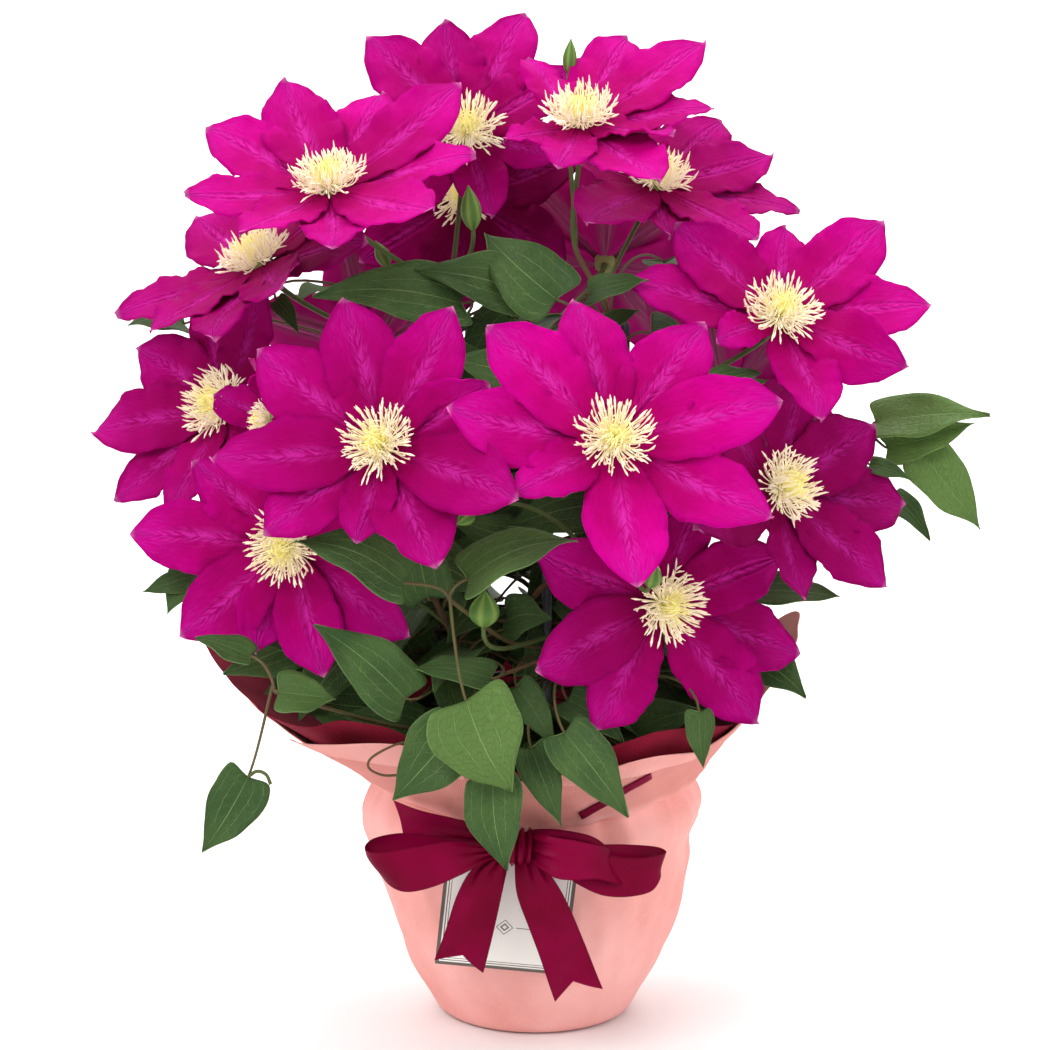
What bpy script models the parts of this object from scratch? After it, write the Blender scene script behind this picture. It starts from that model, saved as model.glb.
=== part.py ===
"""Gift clematis: a vine in bloom on a lantern trellis, in a wrapped pot.

All sizes and places below are in millimetres; make_object() turns them into metres.
+X is right, -Y is the front, +Z is up, and the wrapped pot rests on z = 0.
"""
import math

import bmesh
import bpy
import numpy as np

# Gaps between pieces that touch
CLEARANCE = 0.35
STALK_GAP = 0.8

# Pot, soil and wrap
POT_BASE_RADIUS = 38.5
POT_TOP_RADIUS = 66.0
POT_TOP = 114.0
POT_WALL = 2.2
POT_RIM_HEIGHT = 8.0
POT_RIM_STEP = 1.0
SOIL_TOP = 100.0
SOIL_CROWN = 3.0
ROUND_SIDES = 16
SHEET_THICKNESS = 0.8
WRAP_SIDES = 26
COLLAR_ROWS = (0.25, 0.62, 1.0)
COLLAR_CURVE = 1.15
LINING_REACH = 0.98
# Outer wrap below the waist as (height, radius)
WRAP_PROFILE = ((0.0, 41.0), (8.0, 47.5), (26.0, 57.0), (58.0, 68.5), (101.0, 75.5))
# Collar rim as (bearing in degrees, radius, height); -90 is the front, 0 the right
COLLAR_RIM = (
    (-180, 155, 172), (-168, 141, 157), (-154, 130, 146), (-140, 120, 139), (-124, 104, 141),
    (-106, 92, 132), (-90, 89, 130), (-72, 90, 130), (-56, 98, 137), (-38, 104, 142),
    (-22, 110, 156), (-8, 118, 174), (6, 121, 182), (24, 112, 168), (46, 116, 172),
    (68, 126, 184), (88, 112, 168), (108, 110, 160), (130, 122, 172), (150, 134, 186),
    (166, 140, 176),
)

# Ribbon and card
RIBBON_THICKNESS = 0.8
BOW_SEAT = (0.0, 2.45, 0.0)
CARD_WIDTH = 57.0
CARD_HEIGHT = 60.0
CARD_THICKNESS = 0.8
CARD_CENTRE = (-12.5, -71.5, 66.0)
CARD_LEAN = 15.0
CARD_TURN = 6.0

# Trellis
POLE_RADIUS = 2.0
POLE_SIDES = 6
CLIP_RADIUS = 3.4
POLE_BOTTOM = 56.0
POLE_TOP = 311.0
POLES = (("trellis_pole_front", 5.0, -46.0), ("trellis_pole_right", 41.0, 21.0),
         ("trellis_pole_back", -30.0, 35.0))
RING_RADIUS = 1.3
RING_HEIGHTS = (("low", 146.0), ("high", 258.0))
RING_BULGE = 2.0
RING_SPACING = 46.0
CLIP_HALF_HEIGHT = 4.0
HOLE_PLAY = 0.45

# Flower parts
PETAL_THICKNESS = 0.8
PETAL_HALF_WIDTH = 15.0
PETAL_START = 4.5
PETAL_ROWS = (0.0, 0.25, 0.55, 0.84, 1.0)
HUB_RADIUS = 7.0
HUB_BACK = -1.6
HUB_FRONT = 2.4
WHORL_STEP = 0.75
# Stamen crown: rings as (radius, height), then (reach, height) of the tips of its two rows
STAMEN_SIDES = 9
STAMEN_RINGS = ((5.2, 0.0), (6.0, 2.8), (4.0, 6.4))
STAMEN_TIPS = ((16.0, 3.2), (12.5, 9.5))
STAMEN_TOP = 9.0
SMALL_CROWN = 0.62

# Leaves and stems
LEAF_THICKNESS = 0.8
LEAF_ROWS = (0.0, 0.18, 0.42, 0.76, 1.0)
STEM_RADIUS = 1.8
STEM_DEPTH = 32.0
STEM_SIDES = 5
PEDICEL_RADIUS = 1.1
PETIOLE_RADIUS = 0.8

# Blooms: name, centre, bearing, elevation, lift, cup, petals as (angle, length)
BLOOMS = (
    ("01", (-88, -40, 376), -11, 57, 0.20, 0.10,
     ((154, 68), (117, 67), (79, 62), (49, 75), (10, 64), (-35, 67), (-76, 56), (-118, 56),
      (-160, 61))),
    ("02", (-31, 20, 398), 4, 33, 0.02, 0.14,
     ((66, 72), (132, 65), (98, 60), (33, 58), (-17, 42), (-78, 46), (-135, 52), (176, 58))),
    ("03", (20, -10, 403), -4, 59, 0.14, 0.12,
     ((74, 67), (42, 72), (6, 58), (-26, 46), (-58, 67), (-100, 46), (-149, 38), (120, 50))),
    ("04", (54, 30, 375), 25, 58, 0.10, 0.10,
     ((40, 71), (8, 63), (-26, 67), (-66, 61), (-106, 46), (-142, 68), (150, 46), (84, 50))),
    ("05", (106, -30, 320), 9, 43, 0.05, 0.12,
     ((162, 68), (130, 63), (78, 52), (42, 72), (4, 69), (-32, 60), (-80, 56), (-154, 34))),
    ("06", (-121, -10, 342), -51, 56, 0.11, 0.10,
     ((-134, 70), (165, 66), (118, 58), (68, 58), (14, 66), (-24, 60), (-58, 65), (-96, 60))),
    ("07", (-137, -20, 279), -40, 26, 0.14, 0.12,
     ((160, 62), (-162, 68), (-128, 64), (-92, 52), (122, 56), (80, 56), (-52, 46))),
    ("08", (-106, -60, 225), -17, -4, 0.12, 0.10,
     ((178, 72), (-140, 63), (-108, 50), (-72, 58), (-32, 67), (12, 52), (138, 54))),
    ("09", (-63, -105, 273), -19, 27, 0.16, 0.12,
     ((112, 67), (66, 63), (148, 71), (-170, 71), (-134, 60), (-92, 44), (-56, 64), (-20, 71),
      (30, 52))),
    ("10", (31, -120, 277), 8, 27, 0.08, 0.10,
     ((101, 63), (136, 69), (50, 65), (11, 72), (-28, 72), (-86, 64), (168, 69), (-152, 48))),
    ("11", (104, -60, 249), 42, 21, 0.10, 0.12,
     ((58, 52), (20, 62), (-12, 74), (-52, 64), (-98, 50), (-168, 62), (128, 50))),
    ("12", (54, -70, 201), 28, 4, 0.08, 0.10,
     ((156, 66), (-162, 70), (-126, 62), (-53, 68), (-22, 73), (16, 60), (66, 48), (110, 46))),
    ("13", (-33, 74, 368), -6, 16, 0.10, 0.10,
     ((20, 60), (64, 50), (118, 50), (166, 60), (-146, 58), (-92, 60), (-36, 60))),
    ("14", (-112, -58, 278), -64, 12, 0.50, 0.30,
     ((170, 34), (100, 25), (28, 22), (-44, 22), (-118, 24))),
    ("15", (34, 112, 334), 172, 24, 0.10, 0.12,
     ((0, 66), (48, 62), (94, 66), (140, 62), (-172, 66), (-120, 64), (-62, 66))),
    ("16", (-78, 98, 296), -148, 26, 0.12, 0.10,
     ((14, 66), (66, 62), (112, 66), (158, 64), (-150, 66), (-98, 62), (-44, 66))),
    ("17", (92, 84, 272), 134, 18, 0.10, 0.12,
     ((-8, 64), (40, 66), (90, 60), (138, 66), (-170, 62), (-112, 66), (-58, 62))),
)

# Main stems: name, soil hole, path above the soil
VINES = (
    ("vine_front_right", (14, -27), ((14, -27, 120), (17, -33, 160), (24, -56, 206), (29, -80, 240))),
    ("vine_front_left", (-20, -24), ((-20, -24, 120), (-28, -32, 160), (-44, -50, 200),
                                     (-58, -64, 236))),
    ("vine_right", (27, -2), ((27, -2, 120), (30, -6, 190), (34, -8, 260), (34, -4, 312),
                              (18, 9, 347))),
    ("vine_left", (-29, 4), ((-29, 4, 120), (-33, 2, 190), (-38, -2, 260), (-40, 2, 310),
                             (-36, 8, 345))),
    ("vine_back", (2, 28), ((2, 28, 120), (0, 34, 190), (2, 38, 250), (0, 40, 290), (-4, 44, 322))),
)

# Which stem carries each bloom, the height where its stalk leaves, how straight it runs, and
# the way points of a stalk that has to pass between petals
PEDICELS = (
    ("10", 0, 232, 30), ("12", 0, 176, 22), ("11", 0, 200, 26),
    ("09", 1, 230, 26), ("08", 1, 186, 20), ("14", 1, 214, 20), ("07", 1, 204, 26),
    ("05", 2, 262, 30), ("04", 2, 320, 20), ("03", 2, 342, 24),
    ("06", 3, 280, 30), ("01", 3, 318, 30), ("02", 3, 338, 22),
    ("15", 4, 290, 30), ("16", 4, 250, 26), ("17", 4, 226, 26),
    ("13", 4, 290, 8, ((-6, 60, 304), (-14, 76, 326), (-26, 90, 346))),
)

# Side stalks that carry several leaves: stem, height, way points
SIDE_STALKS = (
    (1, 136, ((-60, -64, 146), (-98, -86, 162), (-110, -94, 168))),
    (2, 236, ((84, 8, 244), (128, 10, 256), (152, 6, 262))),
    (0, 176, ((-10, -70, 184), (-26, -96, 200), (-36, -108, 210))),
)

# Leaves: stem, height or place of its stalk, base, tip, full width, facing
LEAVES = (
    (0, (-36, -108, 210), (-55, -109, 217), (-97, -116, 238), 28, (0, -0.7, 0.7)),
    (0, (-36, -108, 210), (-28, -112, 219), (15, -118, 239), 27, (0, -0.6, 0.8)),
    (0, (-36, -108, 210), (-29, -112, 168), (-10, -112, 129), 40, (0.1, -1, 0.2)),
    (1, 150, (-33, -100, 153), (-60, -106, 124), 30, (0, -1, 0.3)),
    (0, 150, (-18, -104, 132), (-12, -108, 94), 25, (0, -1, 0.2)),
    (1, 165, (-55, -90, 164), (-92, -96, 197), 27, (0, -0.9, 0.4)),
    (1, 160, (-19, -88, 172), (-53, -88, 178), 17, (0, -0.6, 0.8)),
    (1, (-110, -94, 168), (-108, -96, 168), (-84, -94, 165), 21, (0, -0.7, 0.7)),
    (1, (-110, -94, 168), (-121, -84, 181), (-144, -82, 190), 15, (0, -0.5, 0.8)),
    (1, (-110, -94, 168), (-122, -90, 130), (-142, -94, 98), 24, (-0.1, -1, 0.1)),
    (3, 190, (-148, -24, 212), (-162, -34, 190), 18, (-0.3, -1, 0.3)),
    (3, 262, (-160, 30, 312), (-182, 10, 314), 18, (-0.2, -0.8, 0.6)),
    (3, 296, (-35, -42, 318), (-92, -62, 324), 27, (0, -0.6, 0.8)),
    (3, 306, (-7, -34, 322), (-50, -48, 340), 22, (0, -0.7, 0.7)),
    (2, 300, (12, -44, 320), (-22, -30, 352), 28, (0, -0.8, 0.6)),
    (2, 308, (24, -24, 330), (48, -34, 338), 18, (0, -0.6, 0.8)),
    (2, 276, (77, -42, 292), (98, -34, 298), 15, (0, -0.6, 0.8)),
    (2, (152, 6, 262), (153, 4, 270), (201, -12, 277), 26, (0.1, -0.7, 0.7)),
    (2, (152, 6, 262), (158, 0, 259), (195, -6, 272), 18, (0.1, -0.8, 0.5)),
    (2, (152, 6, 262), (174, -2, 256), (199, -16, 226), 27, (0.4, -0.9, 0.2)),
    (2, (128, 10, 256), (162, 8, 236), (178, -4, 219), 13, (0.3, -0.8, 0.4)),
    (2, 214, (101, -22, 198), (134, -32, 198), 22, (0, -0.5, 0.9)),
    (2, 178, (94, -36, 172), (118, -52, 158), 24, (0.2, -0.8, 0.5)),
    (0, 140, (70, -76, 155), (72, -84, 133), 13, (0.2, -1, 0.2)),
    (0, 156, (12, -98, 151), (39, -110, 118), 24, (0.1, -1, 0.4)),
    (0, 152, (-2, -92, 143), (11, -104, 113), 17, (0.1, -1, 0.4)),
    (0, 166, (14, -66, 158), (38, -80, 144), 20, (0, -0.7, 0.7)),
    (1, 196, (-46, -76, 205), (-54, -84, 238), 24, (0.1, -1, 0.1)),
    (3, 180, (-84, 10, 196), (-122, 4, 206), 26, (-0.3, -0.2, 1)),
    (3, 200, (-96, 40, 224), (-134, 52, 228), 28, (-0.3, 0.2, 1)),
    (3, 176, (-66, 34, 178), (-98, 54, 186), 27, (-0.3, 0.2, 1)),
    (3, 160, (-80, -16, 160), (-116, -22, 158), 24, (-0.3, -0.3, 1)),
    (3, 230, (-92, 58, 256), (-118, 86, 238), 24, (-0.4, 0.6, 0.7)),
    (4, 240, (-36, 104, 262), (-52, 138, 246), 28, (-0.2, 0.8, 0.6)),
    (4, 214, (-40, 96, 214), (-60, 128, 196), 28, (-0.2, 0.8, 0.6)),
    (4, 200, (6, 92, 214), (10, 130, 206), 30, (0, 0.6, 0.8)),
    (4, 176, (-26, 72, 176), (-38, 106, 184), 26, (0, 0.6, 0.8)),
    (4, 180, (32, 70, 180), (50, 102, 190), 26, (0.2, 0.6, 0.8)),
    (4, 196, (44, 92, 214), (62, 126, 196), 28, (0.2, 0.8, 0.6)),
    (4, 270, (6, 104, 282), (4, 138, 268), 26, (0, 0.8, 0.6)),
    (2, 186, (74, 22, 188), (110, 34, 196), 28, (0.3, 0.2, 1)),
    (2, 210, (104, 26, 224), (142, 34, 226), 28, (0.3, 0.1, 1)),
    (2, 276, (100, 18, 316), (138, 24, 314), 28, (0.3, 0.1, 1)),
    (2, 316, (60, 64, 338), (84, 96, 332), 26, (0.2, 0.6, 0.8)),
    (3, 300, (-84, 44, 326), (-112, 70, 322), 26, (-0.3, 0.4, 0.9)),
)

# Buds: stem, height of its stalk, foot, tip, radius
BUDS = (
    (3, 326, (-28, -24, 350), (-35, -30, 374), 5.5),
    (3, 316, (-66, 24, 338), (-72, 24, 350), 3.5),
    (2, 346, (15, 22, 424), (16, 22, 440), 3.2),
    (0, 208, (-26, -84, 243), (-33, -88, 238), 3.5),
    (0, 176, (-22, -98, 196), (-21, -100, 212), 6.5),
    (0, 240, (47, -104, 214), (50, -107, 224), 4.0),
)

# Colours as linear RGB
PETAL_COLOUR = (0.50, 0.0, 0.16, 1.0)
STAMEN_COLOUR = (0.84, 0.66, 0.36, 1.0)
LEAF_COLOUR = (0.045, 0.14, 0.045, 1.0)
WRAP_COLOUR = (0.86, 0.35, 0.29, 1.0)
LINING_COLOUR = (0.28, 0.012, 0.035, 1.0)
RIBBON_COLOUR = (0.20, 0.004, 0.035, 1.0)
CARD_COLOUR = (0.88, 0.84, 0.74, 1.0)
POT_COLOUR = (0.05, 0.04, 0.035, 1.0)
SOIL_COLOUR = (0.045, 0.028, 0.018, 1.0)
POLE_COLOUR = (0.055, 0.065, 0.075, 1.0)


def unit(vector):
    """Return the vector at length one."""
    vector = np.asarray(vector, dtype=float)
    return vector / np.linalg.norm(vector)


def clear_scene():
    """Remove every object of the starting scene."""
    for item in list(bpy.data.objects):
        bpy.data.objects.remove(item, do_unlink=True)


def make_material(name, colour, roughness, metallic=0.0):
    """Make a Principled material."""
    material = bpy.data.materials.new(name)
    material.use_nodes = True
    shader = material.node_tree.nodes["Principled BSDF"]
    shader.inputs["Base Color"].default_value = colour
    shader.inputs["Roughness"].default_value = roughness
    shader.inputs["Metallic"].default_value = metallic
    return material


def make_object(name, verts, faces, material=None):
    """Make a mesh object in metres from points in millimetres."""
    mesh = bpy.data.meshes.new(name)
    mesh.from_pydata([tuple(float(c) * 0.001 for c in v) for v in verts], [],
                     [tuple(int(i) for i in f) for f in faces])
    mesh.update()
    item = bpy.data.objects.new(name, mesh)
    bpy.context.scene.collection.objects.link(item)
    if material is not None:
        mesh.materials.append(material)
    return item


def tidy_mesh(mesh):
    """Close hair-line slivers and leave triangles with outward normals."""
    work = bmesh.new()
    work.from_mesh(mesh)
    bmesh.ops.remove_doubles(work, verts=work.verts, dist=2e-6)
    bmesh.ops.dissolve_degenerate(work, edges=work.edges, dist=2e-6)
    bmesh.ops.dissolve_limit(work, angle_limit=math.radians(0.15), verts=work.verts,
                             edges=work.edges, use_dissolve_boundaries=False)
    bmesh.ops.triangulate(work, faces=work.faces)
    bmesh.ops.recalc_face_normals(work, faces=work.faces)
    work.to_mesh(mesh)
    work.free()


def finish_solid(name, verts, faces, material):
    """Make one finished solid."""
    item = make_object(name, verts, faces, material)
    tidy_mesh(item.data)
    return item


def fuse(name, pieces, material):
    """Join overlapping closed pieces into one solid."""
    base = make_object(name, *pieces[0], material)
    tidy_mesh(base.data)
    group = bpy.data.collections.new(name + "_pieces")
    bpy.context.scene.collection.children.link(group)
    for number, (verts, faces) in enumerate(pieces[1:]):
        part = make_object(f"{name}_piece_{number}", verts, faces, material)
        tidy_mesh(part.data)
        bpy.context.scene.collection.objects.unlink(part)
        group.objects.link(part)
    joiner = base.modifiers.new("join", "BOOLEAN")
    joiner.operation = "UNION"
    joiner.operand_type = "COLLECTION"
    joiner.collection = group
    joiner.solver = "EXACT"
    view = bpy.context.evaluated_depsgraph_get()
    joined = bpy.data.meshes.new_from_object(base.evaluated_get(view))
    base.modifiers.clear()
    base.data = joined
    joined.name = name
    for part in list(group.objects):
        bpy.data.objects.remove(part, do_unlink=True)
    bpy.data.collections.remove(group)
    tidy_mesh(base.data)
    return base


def carve(item, cutters):
    """Cut the cutter solids out of a solid."""
    group = bpy.data.collections.new(item.name + "_cutters")
    bpy.context.scene.collection.children.link(group)
    for number, (verts, faces) in enumerate(cutters):
        part = make_object(f"{item.name}_cutter_{number}", verts, faces)
        part.hide_render = True
        part.display_type = "WIRE"
        tidy_mesh(part.data)
        bpy.context.scene.collection.objects.unlink(part)
        group.objects.link(part)
    cutter = item.modifiers.new("carve", "BOOLEAN")
    cutter.operation = "DIFFERENCE"
    cutter.operand_type = "COLLECTION"
    cutter.collection = group
    cutter.solver = "EXACT"
    view = bpy.context.evaluated_depsgraph_get()
    carved = bpy.data.meshes.new_from_object(item.evaluated_get(view))
    item.modifiers.clear()
    item.data = carved
    for part in list(group.objects):
        bpy.data.objects.remove(part, do_unlink=True)
    bpy.data.collections.remove(group)
    tidy_mesh(item.data)


def blade(surface, rows, thickness):
    """Close a thin blade around surface(t, u), drawn to a point at t = 1."""
    def normal(t):
        step = 0.01
        along = surface(min(t + step, 0.999), 0.0) - surface(max(t - step, 0.0), 0.0)
        across = surface(min(t, 0.97), 1.0) - surface(min(t, 0.97), -1.0)
        return unit(np.cross(along, across)) * thickness * 0.5

    verts, faces = [], []
    for t in rows[:-1]:
        verts += [surface(t, -1.0) + normal(t), surface(t, 1.0) + normal(t),
                  surface(t, 1.0) - normal(t), surface(t, -1.0) - normal(t)]
    last = len(rows) - 2
    for row in range(last):
        a, b = row * 4, (row + 1) * 4
        faces += [(a, a + 1, b), (a + 1, b + 1, b)]
        faces += [(a + 3, b + 3, a + 2), (a + 2, b + 3, b + 2)]
        faces += [(a, b, b + 3), (a, b + 3, a + 3), (a + 1, b + 2, b + 1), (a + 1, a + 2, b + 2)]
    faces += [(0, 3, 2), (0, 2, 1)]
    a, top = last * 4, len(verts)
    verts += [surface(1.0, 0.0) + normal(0.97), surface(1.0, 0.0) - normal(0.97)]
    faces += [(a, a + 1, top), (a + 3, top + 1, a + 2), (a, top, top + 1), (a, top + 1, a + 3),
              (a + 1, top + 1, top), (a + 1, a + 2, top + 1)]
    return verts, faces


def smooth_path(points, per_span):
    """Run a Catmull-Rom line through the points."""
    points = [np.asarray(p, dtype=float) for p in points]
    padded = [2 * points[0] - points[1]] + points + [2 * points[-1] - points[-2]]
    path = []
    for i in range(1, len(padded) - 2):
        p0, p1, p2, p3 = padded[i - 1:i + 3]
        for k in range(per_span):
            t = k / per_span
            path.append(0.5 * (2 * p1 + (p2 - p0) * t + (2 * p0 - 5 * p1 + 4 * p2 - p3) * t ** 2
                               + (3 * p1 - p0 - 3 * p2 + p3) * t ** 3))
    path.append(points[-1])
    return path


def bezier(start, start_pull, end_pull, end, count):
    """Return points of one cubic curve."""
    start, start_pull, end_pull, end = (np.asarray(p, dtype=float)
                                        for p in (start, start_pull, end_pull, end))
    path = []
    for k in range(count + 1):
        t = k / count
        path.append(start * (1 - t) ** 3 + 3 * start_pull * t * (1 - t) ** 2
                    + 3 * end_pull * t * t * (1 - t) + end * t ** 3)
    return path


def tube(path, radii, sides, turn=0.0):
    """Sweep a closed rod of regular section along a path."""
    path = [np.asarray(p, dtype=float) for p in path]
    if not hasattr(radii, "__len__"):
        radii = [radii] * len(path)
    tangents = []
    for i in range(len(path)):
        tangents.append(unit(path[min(i + 1, len(path) - 1)] - path[max(i - 1, 0)]))
    guide = np.array([1.0, 0.0, 0.0])
    if abs(tangents[0] @ guide) > 0.9:
        guide = np.array([0.0, 1.0, 0.0])
    verts, faces = [], []
    for i, point in enumerate(path):
        guide = unit(guide - tangents[i] * (guide @ tangents[i]))
        other = np.cross(tangents[i], guide)
        for k in range(sides):
            angle = 2 * math.pi * k / sides + turn
            verts.append(point + radii[i] * (math.cos(angle) * guide + math.sin(angle) * other))
    for i in range(len(path) - 1):
        for k in range(sides):
            a, b = i * sides + k, i * sides + (k + 1) % sides
            faces += [(a, b, b + sides), (a, b + sides, a + sides)]
    first, last = len(verts), len(verts) + 1
    verts += [path[0], path[-1]]
    end = (len(path) - 1) * sides
    for k in range(sides):
        faces += [(first, (k + 1) % sides, k), (last, end + k, end + (k + 1) % sides)]
    return verts, faces


def revolve(profile, sides):
    """Turn a closed profile of (radius, height) around +Z; a radius of zero closes on the axis."""
    verts, faces, rings = [], [], []
    for radius, height in profile:
        if radius <= 0:
            rings.append([len(verts)] * sides)
            verts.append((0.0, 0.0, height))
            continue
        ring = []
        for k in range(sides):
            angle = 2 * math.pi * (k + 0.5) / sides
            ring.append(len(verts))
            verts.append((radius * math.cos(angle), radius * math.sin(angle), height))
        rings.append(ring)
    for i in range(len(rings) - 1):
        for k in range(sides):
            a, b = rings[i][k], rings[i][(k + 1) % sides]
            c, d = rings[i + 1][(k + 1) % sides], rings[i + 1][k]
            if a != b:
                faces.append((a, b, c))
            if c != d:
                faces.append((a, c, d))
    return verts, faces


def bloom_frame(bearing, elevation):
    """Return the right, up and facing directions of a bloom."""
    a, e = math.radians(bearing), math.radians(elevation)
    facing = np.array([math.sin(a) * math.cos(e), -math.cos(a) * math.cos(e), math.sin(e)])
    right = np.array([math.cos(a), math.sin(a), 0.0])
    return right, np.cross(facing, right), facing


def petal_width(t):
    """Half width of a petal along its length, as a share of the widest."""
    return t ** 0.75 * (1.0 - t) ** 0.6 / 0.396


def petal_surface(bloom, index):
    """Return surface(t, u) of one petal, t along and u across."""
    name, centre, bearing, elevation, lift, cup, petals = bloom
    right, up, facing = bloom_frame(bearing, elevation)
    centre = np.asarray(centre, dtype=float)
    angle, length = petals[index]
    level = WHORL_STEP if index % 2 else -WHORL_STEP
    rise = lift + (0.03 if index % 2 else -0.01)
    half_width = PETAL_HALF_WIDTH * min(1.0, length / 64.0)
    a = math.radians(angle)
    outward = math.cos(a) * right + math.sin(a) * up
    sideways = -math.sin(a) * right + math.cos(a) * up
    phase = index * 2.1 + float(name)

    def surface(t, u):
        width = 2.0 * (1.0 - t) ** 2 + half_width * (petal_width(t) if 0 < t < 1 else 0.0)
        reach = PETAL_START + (length - PETAL_START) * t
        height = level + length * rise * t ** 1.25 + cup * width * u * u * min(1.0, t / 0.5)
        height += 1.6 * t * u * math.sin(5.0 * t + phase)
        return centre + outward * reach + sideways * u * width + facing * height

    return surface


def make_bloom(bloom, material):
    """Build the petals and hub of one bloom as one solid."""
    right, up, facing = bloom_frame(bloom[2], bloom[3])
    centre = np.asarray(bloom[1], dtype=float)
    verts, faces = revolve(((0, HUB_BACK), (HUB_RADIUS, HUB_BACK), (HUB_RADIUS, HUB_FRONT),
                            (0, HUB_FRONT)), 8)
    hub = ([centre + v[0] * right + v[1] * up + v[2] * facing for v in verts], faces)
    pieces = [hub]
    for index in range(len(bloom[6])):
        pieces.append(blade(petal_surface(bloom, index), PETAL_ROWS, PETAL_THICKNESS))
    return fuse("bloom_" + bloom[0], pieces, material)


def make_stamens(bloom, material):
    """Build the spiky crown of one bloom, standing just off its hub."""
    right, up, facing = bloom_frame(bloom[2], bloom[3])
    centre = np.asarray(bloom[1], dtype=float)
    size = SMALL_CROWN if bloom[0] == "14" else 1.0
    slope = bloom[4] + 0.06
    base = HUB_FRONT + CLEARANCE
    sides = STAMEN_SIDES
    verts, faces = [], []
    for row, (radius, height) in enumerate(STAMEN_RINGS):
        for k in range(sides):
            angle = 2 * math.pi * (k + 0.5 * row) / sides
            lift = slope * radius * 0.5 if row else 0.0
            verts.append((radius * size * math.cos(angle), radius * size * math.sin(angle),
                          base + (height + lift) * size))
    foot, cap = len(verts), len(verts) + 1
    verts += [(0, 0, base), (0, 0, base + STAMEN_TOP * size)]
    for k in range(sides):
        faces += [(foot, (k + 1) % sides, k),
                  (cap, 2 * sides + k, 2 * sides + (k + 1) % sides)]
    for row in range(2):
        for k in range(sides):
            a, b = row * sides + k, row * sides + (k + 1) % sides
            c, d = a + sides, b + sides
            quad = (a, b, d, c)
            middle = sum(np.asarray(verts[i]) for i in quad) / 4.0
            heading = unit((middle[0], middle[1], 0.0))
            far, high = STAMEN_TIPS[row]
            far *= 1.0 - 0.12 * ((k * 5 + row * 3 + int(bloom[0])) % 3)
            tip = heading * far * size
            tip[2] = base + (high + slope * far) * size
            spike = len(verts)
            verts.append(tuple(tip))
            for i in range(4):
                faces.append((quad[i], quad[(i + 1) % 4], spike))
    placed = [centre + v[0] * right + v[1] * up + v[2] * facing for v in verts]
    return finish_solid("stamens_" + bloom[0], placed, faces, material)


def leaf_surface(base, tip, width, facing, sag=0.10, fold=0.16):
    """Return surface(t, u) of one leaf: heart-shaped foot, pointed tip, folded on its midrib."""
    base, tip = np.asarray(base, dtype=float), np.asarray(tip, dtype=float)
    length = np.linalg.norm(tip - base)
    along = (tip - base) / length
    facing = np.asarray(facing, dtype=float)
    up = unit(facing - along * (facing @ along))
    side = np.cross(up, along)

    def surface(t, u):
        shape = np.interp(t, (0.0, 0.07, 0.18, 0.34, 0.55, 0.78, 0.92, 1.0),
                          (0.42, 0.74, 0.96, 1.0, 0.84, 0.46, 0.17, 0.0))
        half = 0.5 * width * shape
        back = -0.07 * length * abs(u) * max(0.0, 1.0 - t * 6.0)
        height = fold * half * abs(u) + sag * length * (4 * t * (1 - t)) * 0.5
        return base + along * (t * length + back) + side * u * half + up * height

    return surface


def stem_point(path, height):
    """Find the point of a climbing path nearest a height."""
    gaps = [abs(p[2] - height) for p in path]
    return int(np.argmin(gaps))


def bud_solid(foot, tip, radius):
    """Build a pointed bud."""
    foot, tip = np.asarray(foot, dtype=float), np.asarray(tip, dtype=float)
    shares = ((0.0, 0.45), (0.3, 1.0), (0.7, 0.75), (1.0, 0.08))
    return tube([foot + (tip - foot) * s for s, _ in shares], [radius * r for _, r in shares], 5)


def vine_path(vine):
    """Return the fine path of a main stem, straight where it stands in the soil."""
    (x, y), points = vine[1], vine[2]
    low = [(x, y, SOIL_TOP - STEM_DEPTH), (x, y, SOIL_TOP + 6.0)]
    return [np.array(low[0], dtype=float)] + smooth_path([low[1]] + list(points), 2)


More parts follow.
